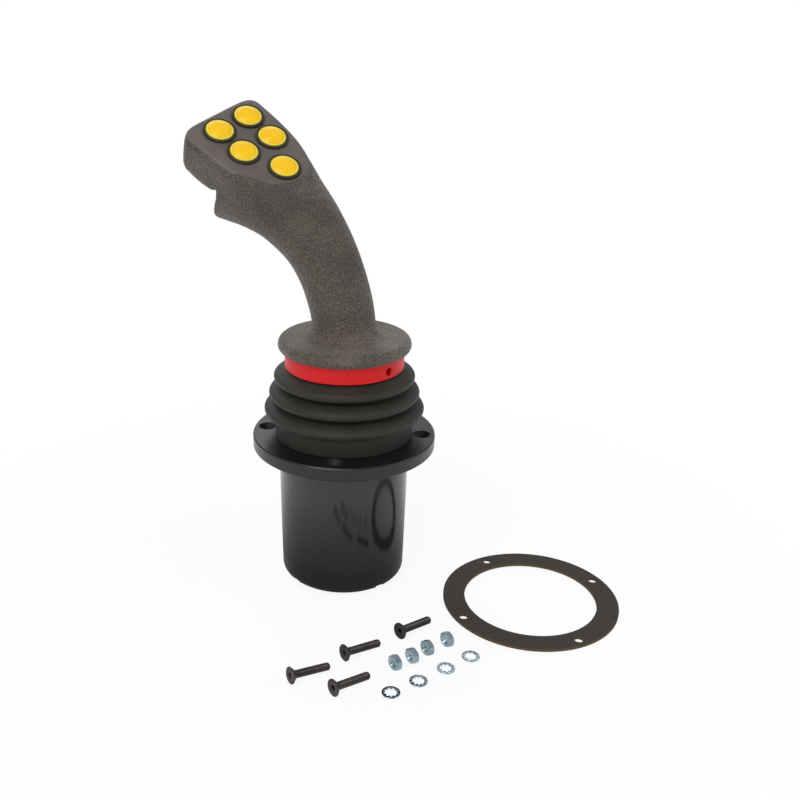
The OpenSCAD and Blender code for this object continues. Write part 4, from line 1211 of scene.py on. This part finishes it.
def toothed(z):
    """The washer's bore: teeth, each twisted from one corner up to the other."""
    def at(a):
        u = (a / (2 * math.pi) * WASHER_TEETH) % 1.0
        if u >= TOOTH_SHARE:
            return WASHER_BORE_R - TOOTH_ROOT, z
        half = TOOTH_SHARE / 2
        return TOOTH_R, z + TOOTH_TWIST * ((u - half) / half)
    return at


def build_washer(points):
    """A toothed washer, lifted so that its twisted teeth clear what it lies on."""
    x, y, _ = middle(points)
    z, thick = points[:, 2].min(), np.ptp(points[:, 2])
    stations = [fixed(WASHER_R, WASHER_BREAK), fixed(WASHER_R, thick - WASHER_BREAK),
                fixed(WASHER_R - WASHER_BREAK, thick), fixed(WASHER_BORE_R, thick),
                toothed(thick), toothed(0.0),
                fixed(WASHER_BORE_R, 0.0), fixed(WASHER_R - WASHER_BREAK, 0.0)]
    washer = turned_grid("washer", stations, WASHER_TEETH * TOOTH_SIDES, True)
    place(washer, Matrix.Translation((x, y, z + WASHER_LIFT)))
    return washer


def build_kit(node, name, slot, build, angle):
    """One piece from a node's solids, each built anew where it lies."""
    kit = merge(name, [build(points) for points in loose_parts(node)])
    shade_by_angle(kit, angle)
    dress(kit, slot, [node], "base")


def build_housing():
    """The moulded housing tapers slightly towards its foot."""
    cad = NODES["lower_housing"]
    mesh = cad.data.copy()
    mesh.transform(cad.matrix_world)
    side, _, top = high("lower_housing")
    for v in mesh.vertices:
        r, z = math.hypot(v.co.x, v.co.y) / MM, v.co.z / MM
        if r > side - HOUSING_SKIN or z < HOUSING_LIP_H and r > side - HOUSING_LIP_W:
            grow = 1 + (DRAFT_LOW + (DRAFT_HIGH - DRAFT_LOW) * z / top) / side
            v.co.x *= grow
            v.co.y *= grow
    if mesh.has_custom_normals:
        mesh.normals_split_custom_set([(0, 0, 0)] * len(mesh.loops))
    with editing(mesh) as bm:
        bmesh.ops.remove_doubles(bm, verts=bm.verts, dist=WELD)
    housing = new_object("housing_moulding", mesh)
    shade_by_angle(housing, 28)
    dress(housing, "housing_black", ["lower_housing"], "base")


def darken_holes():
    """The mounting holes are deep: their walls get a near-black, duller material, a painted
    shade.
    """
    flange = NODES["mounting_flange"]
    flange.data.materials.append(HOLE_SHADE)
    slot = len(flange.data.materials) - 1
    turn = flange.matrix_world.to_3x3()
    bolt_at = (high("mounting_flange").x - BOLT_EDGE) * MM
    centres = [(bolt_at * math.cos(a), bolt_at * math.sin(a))
               for a in sweep(BOLT_START, BOLT_START + 360, BOLT_COUNT)[:-1]]
    for p in flange.data.polygons:
        x, y, _ = flange.matrix_world @ p.center
        if abs((turn @ p.normal).normalized().z) < LEVEL_NORMAL:
            if min(math.hypot(x - cx, y - cy) for cx, cy in centres) < COUNTERSINK_R * MM:
                p.material_index = slot


build_kit("mounting_screws", "screws", "black_oxide", build_screw, 50)
build_kit("mounting_nuts", "nuts", "zinc", build_nut, 24)
build_kit("lock_washers", "washers", "zinc", build_washer, 30)
build_housing()
darken_holes()

# ------------------------------------------------------------
# Boot
# ------------------------------------------------------------


def boot_points():
    """Outline of the rubber from the skirt up over the folds to the collar."""
    top = BOOT_TOP - FLANGE_TOP
    points = [(BOOT_SKIRT_R, 0.05), (BOOT_SKIRT_R, 3.0), (BOOT_SKIRT_R, 7.0),
              (BOOT_SKIRT_R + 0.1, 9.6)]
    crests = [(BOOT_FOLD_R - i * BOOT_FOLD_STEP, z) for i, z in enumerate(BOOT_FOLD_Z)]
    for (r, z), above in zip(crests, crests[1:] + [None]):
        points += [(r + out, z + up) for out, up in BOOT_FOLD]
        if above:
            points += [(r + out, z + up) for out, up in BOOT_GROOVE]
            points.append((above[0] + BOOT_RISE[0], z + BOOT_RISE[1]))
        else:
            points.append((r + BOOT_LAST[0], z + BOOT_LAST[1]))
    return points + [(r, top + up) for r, up in BOOT_NECK]


def spline(points, per):
    """A smooth curve through points, with steps between each two."""
    out = []
    n = len(points)
    for i in range(n - 1):
        p0, p1, p2, p3 = (points[max(i - 1, 0)], points[i], points[i + 1],
                          points[min(i + 2, n - 1)])
        for k in range(per):
            u = k / per
            out.append(tuple(
                0.5 * (2 * p1[j] + (p2[j] - p0[j]) * u
                       + (2 * p0[j] - 5 * p1[j] + 4 * p2[j] - p3[j]) * u * u
                       + (3 * p1[j] - p0[j] - 3 * p2[j] + p3[j]) * u ** 3) for j in (0, 1)))
    return out + [points[-1]]


def walled(points):
    """A closed profile: the outline, and back along it inside the rubber's wall."""
    inner = []
    for (r, z), a, b in zip(points, points[:1] + points[:-1], points[1:] + points[-1:]):
        dr, dz = b[0] - a[0], b[1] - a[1]
        inner.append((r - dz / math.hypot(dr, dz) * BOOT_T, z))
    return points + inner[::-1]


def build_boot():
    """Two lengths that part at the middle fold's crest."""
    outline = spline(boot_points(), 4)
    split_z = BOOT_FOLD_Z[1]
    crest_r = BOOT_FOLD_R - BOOT_FOLD_STEP - 1
    crest = [i for i, (r, _) in enumerate(outline) if r > crest_r]
    cut = min(crest, key=lambda i: abs(outline[i][1] - split_z))
    upper_end = BOOT_TOP - FLANGE_TOP - BOOT_BEND_HIGH
    for name, points, bodies, ends in (
            ("boot_lower", outline[:cut + 1], ("base", "gimbal"), (BOOT_BEND_LOW, split_z)),
            ("boot_upper", outline[cut:], ("gimbal", "lever"), (split_z, upper_end))):
        profile = [(r, z + FLANGE_TOP) for r, z in walled(points)]
        piece = lathe(name, profile, BOOT_SIDES)
        dress(piece, "boot_rubber", ["boot"])
        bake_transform(piece)


build_boot()

# ------------------------------------------------------------
# Floor, light and camera
# ------------------------------------------------------------


def build_stage():
    """A white floor that keeps a shadow round the foot; in reflections it shines less from there,
    a painted shade.
    """
    z = min(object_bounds()[0][2], 0.0) - FLOOR_GAP
    corners = [(-FLOOR_HALF, -FLOOR_HALF, z), (FLOOR_HALF, -FLOOR_HALF, z),
               (FLOOR_HALF, FLOOR_HALF, z), (-FLOOR_HALF, FLOOR_HALF, z)]
    floor = mesh_object("floor", corners, [(0, 1, 2, 3)], scale=1.0)
    mat = bpy.data.materials.new("floor_white")
    mat.use_nodes = True
    t = Tree(mat.node_tree)
    t.tree.nodes.clear()
    place_on = t.node("ShaderNodeTexCoord").outputs["Object"]
    reach = t.node("ShaderNodeVectorMath", {"operation": "LENGTH"}, Vector=place_on)
    reach = reach.outputs["Value"]
    path = t.node("ShaderNodeLightPath").outputs
    camera = path["Is Camera Ray"]
    mirror = t.math("MAXIMUM", path["Is Glossy Ray"], path["Is Transmission Ray"])
    seen = t.math("MULTIPLY", camera, t.mapped(reach, 0.9, 1.0, *SHADOW_REACH))
    # In reflections the floor glows less near the foot: a painted shade on the housing's lower
    # part.
    strength = t.math("MAXIMUM", camera, t.mapped(reach, 0.22, 1.0, *PAINTED_SHADE_REACH))
    diffuse = t.node("ShaderNodeBsdfDiffuse", Color=(0.9, 0.9, 0.9, 1)).outputs[0]
    glow = t.node("ShaderNodeEmission", Color=WHITE, Strength=strength).outputs[0]
    surface = t.mix_shaders(t.math("MAXIMUM", seen, mirror), diffuse, glow)
    t.node("ShaderNodeOutputMaterial", Surface=surface)
    floor.data.materials.append(mat)


def build_world():
    """A plain soft studio, with white behind the object."""
    world = bpy.data.worlds.new("studio")
    bpy.context.scene.world = world
    world.use_nodes = True
    t = Tree(world.node_tree)
    t.tree.nodes.clear()
    room = t.node("ShaderNodeBackground", Color=(0.95, 0.97, 1.0, 1), Strength=0.5).outputs[0]
    white = t.node("ShaderNodeBackground", Color=WHITE, Strength=1.0).outputs[0]
    camera = t.node("ShaderNodeLightPath").outputs["Is Camera Ray"]
    t.node("ShaderNodeOutputWorld", Surface=t.mix_shaders(camera, room, white))


def area_light(name, at, target, size, power):
    data = bpy.data.lights.new(name, "AREA")
    data.shape = "RECTANGLE"
    data.size, data.size_y = size
    data.energy = power
    obj = new_object(name, data)
    obj.location = at
    obj.rotation_euler = (Vector(target) - Vector(at)).to_track_quat("-Z", "Y").to_euler()


def build_camera():
    data = bpy.data.cameras.new("camera")
    data.lens = 44.96
    data.sensor_width = 36.0
    data.shift_x = 0.0950
    data.shift_y = 0.0372
    data.clip_start = 0.02
    data.clip_end = 20
    cam = new_object("camera", data)
    cam.location = (-0.3023, -0.3800, 0.2940)
    cam.rotation_euler = (math.radians(66.42), 0, math.radians(-37.26))
    bpy.context.scene.camera = cam


build_stage()
build_world()
area_light("key", (-0.75, -0.35, 0.95), (0, 0, 0.12), (0.7, 0.7), 6.2)
area_light("fill", (0.55, -0.85, 0.6), (0, 0, 0.1), (0.9, 0.6), 2.0)
area_light("back", (0.3, 0.8, 0.8), (0, 0, 0.15), (0.8, 0.5), 2.8)
build_camera()
bpy.context.scene.view_settings.view_transform = "Standard"
